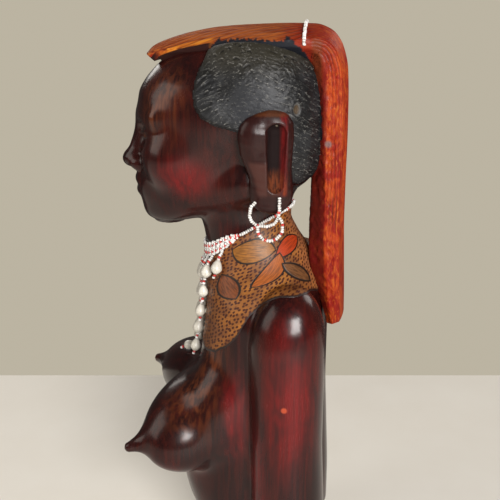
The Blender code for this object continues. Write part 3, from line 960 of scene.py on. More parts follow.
@dataclass(frozen=True)
class PaintedPlaits:
    """The headdress: orange wax stain, with painted shade in the grooves, under the front tip and on the
    strip's face towards the nape, and deep red inside the fold that is partly stain and partly painted
    shade.
    """

    def material(self) -> "bpy.types.Material":
        """Build the nodes.

        Returns:
            The material.
        """
        r = Recipe("painted plaits")
        x, y, z = r.axes(r.place())
        cut, deep, along, top = r.mark("cut"), r.mark("deep"), r.mark("along"), r.mark("top")
        grain = r.noise(r.vector(along * 0.05, x, deep), 1.3, 4, 0.5)
        broad = r.noise(r.place((1, 1, 0.6)), 9, 3, 0.9)
        flecks = r.noise(r.vector(along * 0.3, x * 1.2, deep * 1.2), 1.9, 4, 1.2)
        colour = r.mix(broad.rise(0.38, 0.62), (0.21, 0.011, 0.006), (0.34, 0.042, 0.008))
        colour = r.mix(flecks.rise(0.52, 0.68) * 0.6, colour, (0.42, 0.105, 0.014))
        colour = r.mix((1 - flecks.rise(0.34, 0.5)) * 0.6, colour, (0.11, 0.005, 0.004))
        brown = r.mix(grain.rise(0.35, 0.65), (0.16, 0.034, 0.009), (0.32, 0.088, 0.017))
        plaited = top * (1 - y.rise(28.0, 48.0))
        colour = r.mix(plaited * 0.9, colour, brown)
        lens = (1 - y.rise(-14.0, -9.0)) * deep.rise(4.6, 5.6) * y.rise(-52.0, -40.0)
        gold = r.mix(grain.rise(0.35, 0.65), (0.34, 0.085, 0.010), (0.52, 0.18, 0.018))
        colour = r.mix(lens * 0.95, colour, gold)
        # Deep red on the inward faces of the fold: partly the stain and partly painted shade.
        inner_stain_and_shade = deep.rise(12.6, 14.6) * y.rise(34.0, 50.0)
        colour = r.mix(inner_stain_and_shade * (0.9 - 0.3 * grain), colour, (0.085, 0.004, 0.004))
        rear = 1 - r.gap(r.vector(abs(x) * 0.4, y, z), (10.8, 48.0, 390.0)).rise(8.0, 24.0)
        colour = r.mix(rear * (0.5 + 0.5 * broad), colour, (0.16, 0.013, 0.005))
        streak = 1 - abs(y - 56.0 + 3.0 * broad).rise(1.5, 4.5)
        streak = streak * z.rise(352.0, 366.0) * deep.rise(4.0, 8.0)
        colour = r.mix(streak * 0.75, colour, (0.13, 0.03, 0.01))
        # The strip's face towards the nape is darker: painted shade between the strip and the neck.
        painted_gap_shade = (1 - y.rise(58.0, 60.5)) * (1 - abs(z - 318.0).rise(46.0, 58.0)) * y.rise(48.0, 50.0)
        colour = r.mix(painted_gap_shade * 0.85, colour, r.mix(broad, (0.05, 0.004, 0.004), (0.13, 0.012, 0.006)))
        # The grooves are painted darker: painted shade.
        colour = r.mix(cut.rise(0.15, 0.9) * 0.8, colour, (0.085, 0.010, 0.005))
        knot = 1 - r.gap(r.vector(abs(x), y, z), (24.0, 63.0, 332.0)).rise(1.2, 3.2)
        colour = r.mix(knot * 0.8, colour, (0.13, 0.10, 0.10))
        colour = r.mix(r.mark("black"), colour, (0.010, 0.011, 0.015))
        # The lower faces under the front tip are painted near black: painted shade.
        tip = deep.rise(7.2, 7.9) * (1 - y.rise(-14.0, -9.0))
        tip = tip.most(deep.rise(3.8, 4.6) * (1 - y.rise(-52.0, -46.0)))
        colour = r.mix(tip, colour, (0.02, 0.006, 0.005))
        rough = 0.36 + 0.16 * flecks + 0.1 * grain + 0.1 * plaited
        return r.finish(colour, rough, grain * 0.6 + flecks * 0.4, 0.18, coat=0.03, coat_roughness=0.2,
                        specular=0.1)


@dataclass(frozen=True)
class Leaf:
    """A pointed leaf on the collar, in millimetres round the neck and down it."""

    root: tuple[float, float]
    tip: tuple[float, float]
    half_width: float
    bend: float
    colour: Colour


@dataclass(frozen=True)
class SpottedCollar:
    """The painted collar: dark spots on ochre, with a spray of leaves on each side."""

    leaves: tuple[Leaf, ...] = (
        Leaf((63, 25), (34.5, 9.5), 8.8, 0.0, (0.27, 0.10, 0.013)),
        Leaf((62, 30.5), (83, 27.5), 7.0, 1.2, (0.38, 0.040, 0.007)),
        Leaf((65, 29.5), (47.5, 47), 6.9, 3.2, (0.33, 0.082, 0.010)),
        Leaf((65, 38.5), (76.5, 64), 3.8, 0.6, (0.15, 0.06, 0.02)),
        Leaf((41.2, 53.4), (30, 29), 5.5, 0.0, (0.17, 0.045, 0.011)))

    def material(self) -> "bpy.types.Material":
        """Build the nodes: each leaf's outline is a parabola on either side of its rib.

        Returns:
            The material.
        """
        r = Recipe("spotted collar")
        around, down, arc = r.mark("around"), r.mark("down"), r.mark("arc")
        flat = r.vector(arc, down, 0.0)
        grain = r.noise(r.vector(arc * 0.4, down, 0.0), 1.1, 4, 0.5)
        broad = r.noise(flat, 17, 3, 0.5)
        colour = r.mix(broad.rise(0.35, 0.65), (0.17, 0.060, 0.014), (0.31, 0.115, 0.019))
        colour = r.mix(grain.rise(0.45, 0.7) * 0.5, colour, (0.08, 0.022, 0.007))
        soot = r.noise(flat, 6.5, 3, 0.8)
        colour = r.mix(soot.rise(0.52, 0.75) * 0.6, colour, (0.07, 0.022, 0.008))
        front = 1 - around.rise(28.0, 48.0)
        colour = r.mix(front * 0.55, colour, (0.15, 0.045, 0.011))
        rear = around.rise(70.0, 84.0)
        colour = r.mix(rear * 0.6, colour, (0.33, 0.115, 0.05))
        uneven = r.noise(flat, 1.5, 2)
        warped = r.vector(arc + 0.5 * uneven, down + 1.2 * broad, 0.0)
        spot = r.node("ShaderNodeTexVoronoi", {"voronoi_dimensions": "2D"},
                      {"Vector": warped, "Scale": 1 / 2.9, "Randomness": 0.62}, "Distance")
        size = spot + 0.14 * uneven + 0.04 * rear
        colour = r.mix(1 - size.rise(0.35, 0.44), colour, (0.046, 0.009, 0.004))
        line: Value | float = 0.0
        for leaf in self.leaves:
            way = (leaf.tip[0] - leaf.root[0], leaf.tip[1] - leaf.root[1])
            length = math.hypot(*way)
            way = (way[0] / length, way[1] / length)
            off_x, off_y = around - leaf.root[0], down - leaf.root[1]
            reach = (off_x * way[0] + off_y * way[1]) / length
            swell = (4 * reach * (1 - reach)).most(0.0)
            wide = abs(off_x * way[1] - off_y * way[0] - leaf.bend * swell)
            edge = wide - leaf.half_width * swell ** 0.8
            inside = (1 - edge.rise(-0.1, 0.3)) * reach.rise(-0.01, 0.01) * (1 - reach.rise(0.99, 1.01))
            rib = r.noise(r.vector(reach * length * 0.12, wide, 0.0), 0.9, 4, 0.6)
            vein = r.mix(rib.rise(0.35, 0.65), leaf.colour, tuple(0.5 * part for part in leaf.colour))
            colour = r.mix(inside, colour, vein)
            near = (1 - abs(edge).rise(0.35, 0.9)) * reach.rise(-0.05, 0.0) * (1 - reach.rise(1.0, 1.05))
            line = near if isinstance(line, float) else (line * (1 - inside)).most(near)
        colour = r.mix(line, colour, (0.012, 0.007, 0.005))
        colour = r.mix(r.mark("border"), colour, (0.014, 0.006, 0.005))
        rough = 0.4 + 0.2 * grain
        return r.finish(colour, rough, grain * 0.4 - line * 0.9 + 0.6, 0.22, coat=0.06, coat_roughness=0.2,
                        specular=0.35)


@dataclass(frozen=True)
class SeedGlass:
    """Opaque glass seed beads, white or red by the bead."""

    def material(self) -> "bpy.types.Material":
        """Build the nodes.

        Returns:
            The material.
        """
        r = Recipe("seed glass")
        tint, shade = r.mark("tint"), r.mark("shade")
        white = r.mix(shade, (0.54, 0.52, 0.49), (0.76, 0.75, 0.73))
        red = r.mix(shade, (0.36, 0.02, 0.02), (0.56, 0.045, 0.03))
        return r.finish(r.mix(tint, white, red), 0.22 + 0.1 * shade, coat=0.4, coat_roughness=0.08)


@dataclass(frozen=True)
class NutShell:
    """Naturally polished ivory-white nuts with faint grey streaks."""

    def material(self) -> "bpy.types.Material":
        """Build the nodes.

        Returns:
            The material.
        """
        r = Recipe("nut shell")
        shade = r.mark("shade")
        streak = r.noise(r.place((1, 1, 0.25)), 1.5, 4, 0.8)
        colour = r.mix(streak.rise(0.35, 0.7), (0.56, 0.53, 0.46), (0.71, 0.69, 0.63))
        colour = r.mix(shade * 0.4, colour, (0.34, 0.30, 0.23))
        colour = r.mix(streak.rise(0.6, 0.75) * 0.4, colour, (0.28, 0.24, 0.19))
        return r.finish(colour, 0.28 + 0.12 * streak, streak, 0.04, coat=0.25, coat_roughness=0.12)


# Carved pieces.


@dataclass
class CarvedFigure:
    """The wood of the torso, head and ears."""

    body_step: float = 1.75
    head_step: float = 1.0
    ear_step: float = 0.6
    joint_height: float = 247.0
    # Each eye's middle across and up, half its width, and the rise and fall of its lids.
    eyes: tuple[float, float, float, float, float] = (16.3, 334.3, 8.2, 3.1, 2.1)

    def torso(self) -> Shape:
        """Net the torso and arm stumps, flat below and cut at the neck under the collar.

        Returns:
            The closed surface.
        """
        carving = Carving(BODY.steps + (Added(Floor(0.0, True), 0, mode="keep"),
                                        Added(Floor(self.joint_height + 2, False), 0, mode="keep")))
        return net(carving, (-80, -80, -3), (80, 76, self.joint_height + 6), self.body_step)

    def head(self) -> Shape:
        """Net the neck and head, cut under the collar, with the slits of the eyes carved in.

        Returns:
            The closed surface.
        """
        carving = Carving(HEAD.steps + (Added(Floor(self.joint_height, True), 0, mode="keep"),))
        shape = net(carving, (-48, -84, self.joint_height - 4), (48, 66, 402), self.head_step)
        x, y, z = shape.points.T
        middle_x, middle_z, half, tall, low = self.eyes
        across, up = (np.abs(x) - middle_x) / half, z - middle_z
        lid = np.maximum(up - tall * (1 - across ** 2), -low * (1 - across ** 2) - up)
        front = (y < -48) & (np.abs(across) < 1.25)
        normals = carving.normals(shape.points)
        depth = np.where(front, 0.9 * ease(-lid, -0.5, 0.5) - 0.35 * np.exp(-((lid - 1.1) / 0.8) ** 2), 0)
        shape.points = shape.points - normals * depth[:, None]
        return shape

    def ear(self, side: Side) -> Shape:
        """Net one ear, with shallow chisel steps at the foot of its hollow.

        Args:
            side: the side of the figure.

        Returns:
            The closed surface.
        """
        shape = net(EAR_FORM, (24, 4, 288), (52, 45, 359), self.ear_step)
        x, y, z = shape.points.T
        inside = ease(x, 40, 42) * (1 - ease(np.abs(y - 32.5), 3.5, 5.5)) * (1 - ease(z, 313, 320))
        phase = 2 * math.pi * z / 3.4 + 1.6 * np.sin(0.8 * y) + ripple(x, y, z, 5.0, 3.0)
        steps = 0.05 * np.sin(phase) * inside
        uneven = 0.12 * ripple(x, y, z, 6.0, 1.0)
        shape.points = shape.points + EAR_FORM.normals(shape.points) * (steps + uneven)[:, None]
        if side is Side.RIGHT:
            shape.points[:, 0] *= -1
            shape.faces = [corners[:, ::-1] for corners in shape.faces]
        return shape

    def build(self) -> None:
        """Make the pieces."""
        wood = StainedWood().material()
        ear_wood = EarWood().material()
        make_piece("torso", self.torso(), wood, ("bust",))
        make_piece("head", self.head(), wood)
        for side in Side:
            make_piece(f"ear_{side.name.lower()}", self.ear(side), ear_wood)


@dataclass
class CarvedHair:
    """The hair at the sides and back of the head, a raised layer cut all over with small gouge marks."""

    step: float = 0.69
    proud: float = 1.5
    # How deep the rim is sunk, how deep the back lies and how far the layer passes the hairline.
    sunk: float = 0.9
    depth: float = 1.6
    beyond: float = 1.6
    # The height and width of the cells that hold the larger and the smaller cuts.
    large_cells: tuple[float, float] = (3.8, 5.2)
    small_cells: tuple[float, float] = (3.1, 3.7)
    # The hairline seen from the side, y and z, from the crown round by the temple to the nape.
    outline: Table = (
        (-9, 392), (-13.1, 389.5), (-16.4, 382.6), (-19.3, 372.4), (-20.3, 364), (-19.4, 357.5),
        (-15.5, 351), (-7.3, 346.7), (5.2, 343.1), (12, 336), (18, 322), (24, 312), (36, 309.5),
        (44, 306), (52, 309), (58, 318), (66, 335), (70, 356), (68, 370), (60, 376), (53, 381),
        (46, 386.5), (38, 390), (30, 392.5), (22, 394), (14, 394.8), (5, 394.6), (-3, 393.6))
    ear_middle: tuple[float, float] = (26.5, 325.0)
    ear_reach: tuple[float, float] = (13.0, 27.0)
    knot: tuple[float, float, float] = HAIR_KNOT

    def margin(self, y: Array, z: Array) -> Array:
        """Measure from the nearest straight stretch of the hairline.

        Args:
            y, z: the points, seen from the side.

        Returns:
            The distance from the hairline, below 0 outside it.
        """
        corners = np.array(self.outline, float)
        ring = np.concatenate([corners, corners[:1]])
        nearest = np.full(y.shape, 1e9)
        inside = np.zeros(y.shape, bool)
        for (ay, az), (by, bz) in zip(ring[:-1], ring[1:]):
            way_y, way_z = by - ay, bz - az
            t = np.clip(((y - ay) * way_y + (z - az) * way_z) / (way_y ** 2 + way_z ** 2), 0, 1)
            nearest = np.minimum(nearest, np.hypot(y - ay - t * way_y, z - az - t * way_z))
            crosses = (az > z) != (bz > z)
            at = ay + (z - az) / (bz - az if bz != az else 1e-9) * way_y
            inside ^= crosses & (y < at)
        return np.where(inside, nearest, -nearest)

    @staticmethod
    def chance(column: Array, row: Array, seed: float) -> Array:
        """Return a fixed number between 0 and 1 for each cell, the loose digits of a steep sine."""
        steep = np.sin(column * CHANCE_PACES[0] + row * CHANCE_PACES[1] + seed) * CHANCE_STEEP
        return steep - np.floor(steep)

    def cuts(self, around: Array, up: Array, tall: float, wide: float, seed: float) -> Array:
        """Return the gouge marks: in each cell of a staggered lattice an arc, turned a little by chance.

        A mark is a ridge above and a groove below the parabola v = -bend u squared, and fades at its ends.

        Args:
            around: the places round the head.
            up: the places up it.
            tall: the height of a cell.
            wide: its width.
            seed: a number that sets the chances.

        Returns:
            The height of the marks, between -1 and 1.
        """
        row = np.floor(up / tall)
        shifted = around / wide + 0.5 * (row % 2) + 0.35 * np.sin(1.7 * row + seed)
        column = np.floor(shifted)
        first, second = self.chance(column, row, seed), self.chance(column, row, seed + 7)
        u = (shifted - column - 0.5) * 2 + 0.3 * (first - 0.5)
        v = (up / tall - row - 0.5) * 2 + 0.4 * (second - 0.5)
        turn = 1.1 * (second - 0.5)
        u, v = u * np.cos(turn) - v * np.sin(turn), u * np.sin(turn) + v * np.cos(turn)
        off = v + (0.3 + 0.7 * first) * u * u - 0.2
        fade = (1 - ease(np.abs(u), 0.5, 0.9)) * (0.35 + 0.65 * first)
        return fade * (0.9 * np.exp(-((off - 0.2) / 0.2) ** 2) - np.exp(-((off + 0.25) / 0.22) ** 2))

    def build(self) -> None:
        """Raise the layer from the skull and make the piece."""
        base = Carving((Added(SKULL), Added(HAIR, 2), Added(FACE, 10)))
        shape = net(base, (-45, -26, 300), (45, 64, 402), self.step)
        x, y, z = shape.points.T
        normals = base.normals(shape.points)
        margin = self.margin(y, z)
        angle = np.arctan2(np.abs(x), y - 12)
        around = 40 * angle + 1.6 * ripple(x, y, z, 17, 7.0)
        rise = z + 0.009 * (y - 8) ** 2 + 1.2 * ripple(x, y, z, 15, 8.0)
        marks = (self.cuts(around, rise, *self.large_cells, 0.0)
                 + 0.7 * self.cuts(around + 2, rise + 1.7, *self.small_cells, 3.0))
        calm = 1 - 0.6 * (1 - ease(np.hypot(y - 18, z - 353), 8, 24)) * (np.abs(x) > 20)
        border = np.where((y > 10) & (z > 340), ease(margin, 2.6, 4.4), ease(margin, 0.5, 2.0))
        marks = marks * border * calm
        shape.marks = {"cut": marks, "around": around, "rise": rise}
        hole = np.hypot(y - self.knot[1], (z - self.knot[2]) * 0.6) + 50 * (x < 20)
        lift = (-self.sunk + (self.proud + self.sunk) * ease(margin, -0.6, 0.9) + 0.45 * marks
                + 0.12 * ripple(x, y, z, 7.0, 2.0) - 1.2 * (1 - ease(hole, 1.2, 2.2))
                + 0.25 * np.exp(-((hole - 2.9) / 0.6) ** 2))
        under_ear = np.hypot((y - self.ear_middle[0]) / self.ear_reach[0],
                             (z - self.ear_middle[1]) / self.ear_reach[1]) < 1
        kept = (margin > -self.beyond) & ~(under_ear & (np.abs(x) > 25))
        layer = sheet(shape, lift, normals, self.depth, kept)
        make_piece("hair", layer, BlackHair().material())


@dataclass
class Headdress:
    """The plaited headdress and its hanging strip, one profile carried along the outer line."""

    # y, z, half width, thickness, depth of the sides, half width of the inner face, fall of the edges.
    stations: Table = (
        (-57, 385, 5, 7.5, 3, 4, 1), (-52.5, 389.5, 7.5, 11, 5, 6, 2.5),
        (-43, 393.8, 11.5, 14, 8, 9, 5), (-27, 398.6, 17, 16, 11, 12, 8),
        (-8, 402, 21.5, 18, 12, 15, 8.5), (15, 403.7, 25.5, 19, 12, 19, 8),
        (38, 404.5, 27, 20, 12, 19, 7.5), (52, 404.3, 26.5, 22, 13, 17, 6),
        (63, 400.5, 25.5, 24, 14, 15, 5),
        (70.3, 391, 25, 24, 15, 14, 4), (74, 376, 24.5, 24, 16, 14, 3.5), (75, 355, 24, 23, 16, 13, 3.5),
        (75.3, 330, 24, 22.5, 15.5, 13, 3.5), (75.1, 305, 24, 23, 14, 12, 3.5),
        (75.1, 280, 24, 23.5, 13, 12, 3.5), (76, 250, 24, 24, 13, 13, 3.5), (77, 222, 23, 17, 11, 14, 3),
        (77.4, 204, 21, 12, 8, 15, 3))
    # The upper edge of the black paint above the hair, y and z.
    paint: Table = (
        (-60, 340), (-15, 389), (-10, 393.6), (-7.5, 396.6), (-5, 395.6), (5, 396.8), (18, 396.9),
        (28, 396.2), (33, 396.2), (36, 398.8), (39, 397.4), (41, 394.6), (44, 392.4), (50, 383.4),
        (54, 370.4), (57.5, 354), (58.5, 338), (60, 300), (80, 290))
    # The height, pace and shift of the waves that make its edge jagged.
    jags: Table = ((0.5, 0.62, 0), (0.4, 0.37, 1))
    end_slant: float = 5.0
    step: float = 0.95
    plaits: float = 6.5
    sweep: float = 0.095
    groove_depth: float = 0.5
    groove_width: float = 0.2
    # The straight grooves down the strip: how many lie across half the top, and their step on its sides.
    ribs: float = 11
    rib_step: float = 2.2

    def profile(self, rows: Array) -> tuple[Array, Array]:
        """Return the profile of each station: places across and inward, half a ring from the crown line.

        The top falls as the square of the place across, the side runs inward, the chamfer slants to the
        inner face, and the face runs back to the middle.

        Args:
            rows: one row of sizes for each station.

        Returns:
            The places across, and the places inward.
        """
        across, thick, side, inner, fall = (rows[:, n][:, None] for n in range(2, 7))
        t = np.linspace(0, 1, 64)[None, :]
        top = (t * across, fall * t * t)
        t = np.linspace(0, 1, 20)[None, 1:]
        low = np.maximum(side, fall + 1)
        wall = (across + 0 * t, fall + t * (low - fall))
        slant = (across + t * (inner - across), low + t * (thick - low))
        t = np.linspace(0, 1, 12)[None, 1:]
        floor = (inner * (1 - t), thick + 0 * t)
        return (np.concatenate([part[0] for part in (top, wall, slant, floor)], 1),
                np.concatenate([part[1] for part in (top, wall, slant, floor)], 1))

    @staticmethod
    def notch(phase: Array, width: float) -> Array:
        """Return 1 where a phase is whole, falling off over a width as a bell."""
        return np.exp(-((phase - np.round(phase)) / width) ** 2)

    def blackened(self, y: Array, z: Array, deep: Array) -> Array:
        """Lay the jagged black paint above the hair.

        Args:
            y, z: the points, seen from the side.
            deep: how far each lies inward from the crown line.

        Returns:
            1 under the paint and 0 outside it.
        """
        table = np.array(self.paint, float)
        edge = glide(y.ravel(), table[:, 0], table[:, 1:])[:, 0].reshape(y.shape)
        for tall, pace, shift in self.jags:
            edge = edge + tall * np.sin(y / pace + shift)
        return ease(edge - z, -0.3, 0.4) * ease(deep, 3, 4.5) * (z > 334)

    @staticmethod
    def caps(points: Array, way: Array) -> list[list[Array]]:
        """Round off both ends with two smaller rings each.

        Args:
            points: the rings of the surface.
            way: the way of the line at each ring, y and z.

        Returns:
            The rings beyond the first, and those beyond the last.
        """
        ends = ((0, -way[0], 1.2, (0.82, 0.45)), (-1, way[-1], 0.6, (0.96, 0.5)))
        caps = []
        for ring, out, bulge, shares in ends:
            middle = points[ring].mean(0)
            caps.append([middle + (points[ring] - middle) * part
                         + np.array([0, *(out * bulge * (1 - part))]) for part in shares])
        return caps

    def build(self) -> None:
        """Carry the profile along the line, round its corners, cut the plaits and make the piece."""
        table = np.array(self.stations, float)
        length = np.concatenate([[0], np.cumsum(np.hypot(*np.diff(table[:, :2], axis=0).T))])
        along = np.linspace(0, length[-1], int(length[-1] / self.step))
        rows = glide(along, length, table)
        way = np.stack([np.gradient(rows[:, 0]), np.gradient(rows[:, 1])], 1)
        way /= np.linalg.norm(way, axis=1, keepdims=True)
        half_x, half_deep = self.profile(rows)
        x = np.concatenate([half_x, -half_x[:, -2:0:-1]], 1)
        deep = np.concatenate([half_deep, half_deep[:, -2:0:-1]], 1)
        for _ in range(6):
            x = (np.roll(x, 1, 1) + 2 * x + np.roll(x, -1, 1)) / 4
            deep = (np.roll(deep, 1, 1) + 2 * deep + np.roll(deep, -1, 1)) / 4
        slant = self.end_slant * (1 - deep[-1] / deep[-1].max())
        drop = ease(along, length[-1] - 30, length[-1])[:, None] * slant[None, :]
        y = rows[:, :1] + way[:, 1:] * deep - way[:, :1] * drop
        z = rows[:, 1:2] - way[:, :1] * deep - way[:, 1:] * drop
        points = np.stack([x, y, z], -1)
        gone_along = np.gradient(points, axis=0)
        gone_round = (np.roll(points, -1, 1) - np.roll(points, 1, 1)) / 2
        normals = np.cross(gone_round, gone_along)
        normals /= np.maximum(np.linalg.norm(normals, axis=-1, keepdims=True), 1e-9)
        share = np.abs(x) / rows[:, 2:3]
        on_top = 1 - ease(deep - rows[:, 6:7] * share ** 2, 0.8, 2.2)
        run = along[:, None] + 1.5 * ripple(x, y, z, 40, 9.0)
        swept = share * self.plaits + self.sweep * run
        down_side = np.maximum(deep - rows[:, 6:7] * share ** 2, 0)
        straight = share * self.ribs + down_side / self.rib_step + 0.3 * ripple(x, y, z, 60, 10.0)
        behind = ease(y, 44, 62)
        plait = self.notch(swept, self.groove_width) * on_top * (1 - behind)
        rib = self.notch(straight, self.groove_width) * behind * (1 - ease(down_side, 8, 10))
        rib = rib * ease(z, 235, 290)
        worn = 0.75 + 0.25 * ripple(x, y, z, 30, 3.0)
        groove = np.maximum(plait, rib) * worn
        chop = np.abs(ripple(x * 1.4, y * 1.4, z, 11, 4.0)) * ease(deep, 6, 9) * ease(y, 40, 58)
        fine_chop = ripple(x, y, z, 4.0, 5.0) * ease(deep, 5, 8) * ease(y, 30, 50) * ease(z, 225, 260)
        lift = (-self.groove_depth * groove - 0.6 * chop - 0.14 * fine_chop
                + 0.1 * ripple(x, y, z, 18, 6.0) * (1 - on_top))
        taper = ease(along, 0, 6)[:, None] * (1 - ease(along, length[-1] - 2, length[-1]))[:, None]
        points = points + normals * (lift * taper)[..., None]
        above, below = self.caps(points, way)
        layers = np.concatenate([np.array(above[::-1]), points, np.array(below)])
        count = layers.shape[1]
        marks = {"cut": groove, "deep": deep, "along": np.repeat(along[:, None], count, 1),
                 "top": on_top, "black": self.blackened(y, z, deep)}
        padded = {name: np.concatenate([values[[0, 0]], values, values[[-1, -1]]]).ravel()
                  for name, values in marks.items()}
        quads = lattice(len(layers), count, True)
        first = np.arange(count)[None, ::-1]
        last = (len(layers) - 1) * count + np.arange(count)[None, :]
        shape = Shape(layers.reshape(-1, 3), [quads, first, last], padded)
        make_piece("headdress", shape, PaintedPlaits().material())


@dataclass
class Collar:
    """The painted collar, a low layer over the neck, shoulders and chest inside a cut outline."""

    step: float = 0.81
    proud: float = 0.35
    # How deep the rim is sunk, how deep the back lies and how far the layer passes its outline.
    sunk: float = 0.9
    depth: float = 1.4
    beyond: float = 1.4
    axis_y: float = 12.0
    # Turn from the front in degrees, and the reach out from the neck less the height, at the lower edge.
    lower: Table = ((0, -160), (18, -155), (40.8, -146.9), (54.4, -142.9), (65.3, -142.8), (72.7, -144.7),
                    (79.7, -148.7), (85.9, -155.4), (91, -163.6), (95.8, -171.3), (102.9, -177.4),
                    (109.7, -176.8), (116, -174.5), (123, -172.9), (135, -177), (147.5, -181.5),
                    (159.5, -178.8), (180, -180))

    def build(self) -> None:
        """Raise the layer and keep its measures round and down the neck for the pattern."""
        shape = net(BODY, (-66, -36, 180), (66, 68, 294), self.step)
        x, y, z = shape.points.T
        turn = np.degrees(np.arctan2(np.abs(x), self.axis_y - y))
        out = np.hypot(x, y - self.axis_y)
        table = np.array(self.lower, float)
        edge = glide(turn, table[:, 0], table[:, 1:])[:, 0]
        uneven = 0.25 * np.sin(turn / 3.1) + 0.2 * np.sin(turn / 1.7 + 1)
        above = (edge - out + z) * 0.75 + uneven
        under_choker = (Choker.height(turn) + 0.5 - z) * 0.9
        inside = np.minimum(above, under_choker)
        groove = np.exp(-((inside + 0.1) / 0.6) ** 2)
        lift = -self.sunk + (self.proud + self.sunk) * ease(inside, -0.7, 0.3) - 0.3 * groove
        shape.marks = {"around": 0.5 * turn, "down": Choker.height(turn) - z + 0.75 * (out - 24),
                       "arc": np.radians(turn - 85) * out, "border": 1 - ease(above, 1.5, 2.2)}
        layer = sheet(shape, lift, BODY.normals(shape.points), self.depth, inside > -self.beyond)
        make_piece("collar", layer, SpottedCollar().material())


# Beads.


def run_along(path: Array) -> Array:
    """Return the length run along a path at each of its points."""
    return np.concatenate([[0], np.cumsum(np.linalg.norm(np.diff(path, axis=0), axis=1))])


@dataclass
class Beads:
    """Seed beads and nuts, each a ring of small sections round its hole, set on paths."""

    seed_radius: float = 1.15
    seed_length: float = 1.5
    nut_radius: float = 3.75
    nut_length: float = 10.4
    # How far chance tilts and shifts a bead, and the least size that it gives and the range above it.
    tilt: float = 0.34
    stray: float = 0.16
    least: float = 0.92
    spread: float = 0.12
    placed: list[Shape] = field(default_factory=list)
    count: int = 0

    @staticmethod
    def turned(radii: Array, heights: Array, sides: int) -> tuple[Array, Array]:
        """Turn a closed section about the thread.

        Args:
            radii: how far the section's points lie from the thread.
            heights: where they lie along it.
            sides: how many sections go round.

        Returns:
            The points, and the quads.
        """
        angle = 2 * math.pi * np.arange(sides) / sides
        points = np.stack([np.cos(angle)[:, None] * radii, np.sin(angle)[:, None] * radii,
                           np.broadcast_to(heights, (sides, len(heights)))], -1)
        return points.reshape(-1, 3), lattice(sides, len(heights), True, True)[:, ::-1]

    def seed_form(self) -> tuple[Array, Array]:
        """Shape a seed bead, round outside and straight in the hole.

        Returns:
            Its points, and its quads.
        """
        radii = self.seed_radius * np.array([0.35, 0.62, 0.93, 1.0, 0.93, 0.62, 0.35])
        heights = self.seed_length * np.array([-0.36, -0.46, -0.3, 0.0, 0.3, 0.46, 0.36])
        return self.turned(radii, heights, 10)

    def nut_form(self) -> tuple[Array, Array]:
        """Shape a nut: an egg fullest a little below its middle, with a small mouth at each end.

        Returns:
            Its points, and its quads.
        """
        t = np.linspace(0.03, 0.97, 15)
        swell = np.sin(math.pi * t) ** 0.66 * (1 - 0.1 * np.sin(2 * math.pi * t))
        radii = np.concatenate([[0.6], np.maximum(self.nut_radius * swell, 0.8), [0.6]])
        heights = self.nut_length * (np.concatenate([[0.05], t, [0.95]]) - 0.5)
        return self.turned(radii, heights, 20)

    def put(self, form: tuple[Array, Array], spot: Array, way: Array, tint: float,
            scale: float = 1.0) -> None:
        """Set a bead at a place, a little askew by chance.

        Args:
            form: its points and quads.
            spot: the place.
            way: the way of its hole.
            tint: 0 for white and 1 for red.
            scale: its size against the form.
        """
        way = way / np.linalg.norm(way)
        beside = np.cross(way, [0.31, 0.87, 0.38])
        beside /= np.linalg.norm(beside)
        other = np.cross(way, beside)
        chance = math.sin(CHANCE_PACES[0] * self.count + 4.1) * CHANCE_STEEP
        chance -= math.floor(chance)
        tilt = self.tilt * (chance - 0.5)
        spot = spot + self.stray * (math.cos(9 * chance) * beside + math.sin(9 * chance) * other)
        axes = np.stack([beside - tilt * way, other, way + tilt * beside])
        points = spot + (form[0] * (scale * (self.least + self.spread * chance))) @ axes
        size = len(points)
        marks = {"tint": np.full(size, tint), "shade": np.full(size, chance)}
        self.placed.append(Shape(points, [form[1]], marks))
        self.count += 1

    def string(self, path: Array, pattern: str) -> None:
        """Thread seed beads along a path.

        Args:
            path: places along the thread.
            pattern: the beads' colours, w or r, repeated.
        """
        reach = run_along(path)
        number = max(1, round(reach[-1] / self.seed_length))
        places = (np.arange(number) + 0.5) * reach[-1] / number
        spots = np.stack([np.interp(places, reach, path[:, n]) for n in range(3)], 1)
        ways = np.gradient(spots, axis=0) if number > 1 else np.array([path[-1] - path[0]])
        form = self.seed_form()
        for n in range(number):
            self.put(form, spots[n], ways[n], 1.0 if pattern[n % len(pattern)] == "r" else 0.0)

    def shape(self) -> Shape:
        """Return all beads as one shape."""
        return Shape.joined(self.placed)


def smooth_path(points: Table, step: float = 0.4) -> Array:
    """Lay places on the smooth curve through points.

    Args:
        points: the places that the curve goes through.
        step: how far apart the results lie.

    Returns:
        The places.
    """
    knots = np.array(points, float)
    reach = run_along(knots)
    return glide(np.linspace(0, reach[-1], int(reach[-1] / step) + 2), reach, knots)


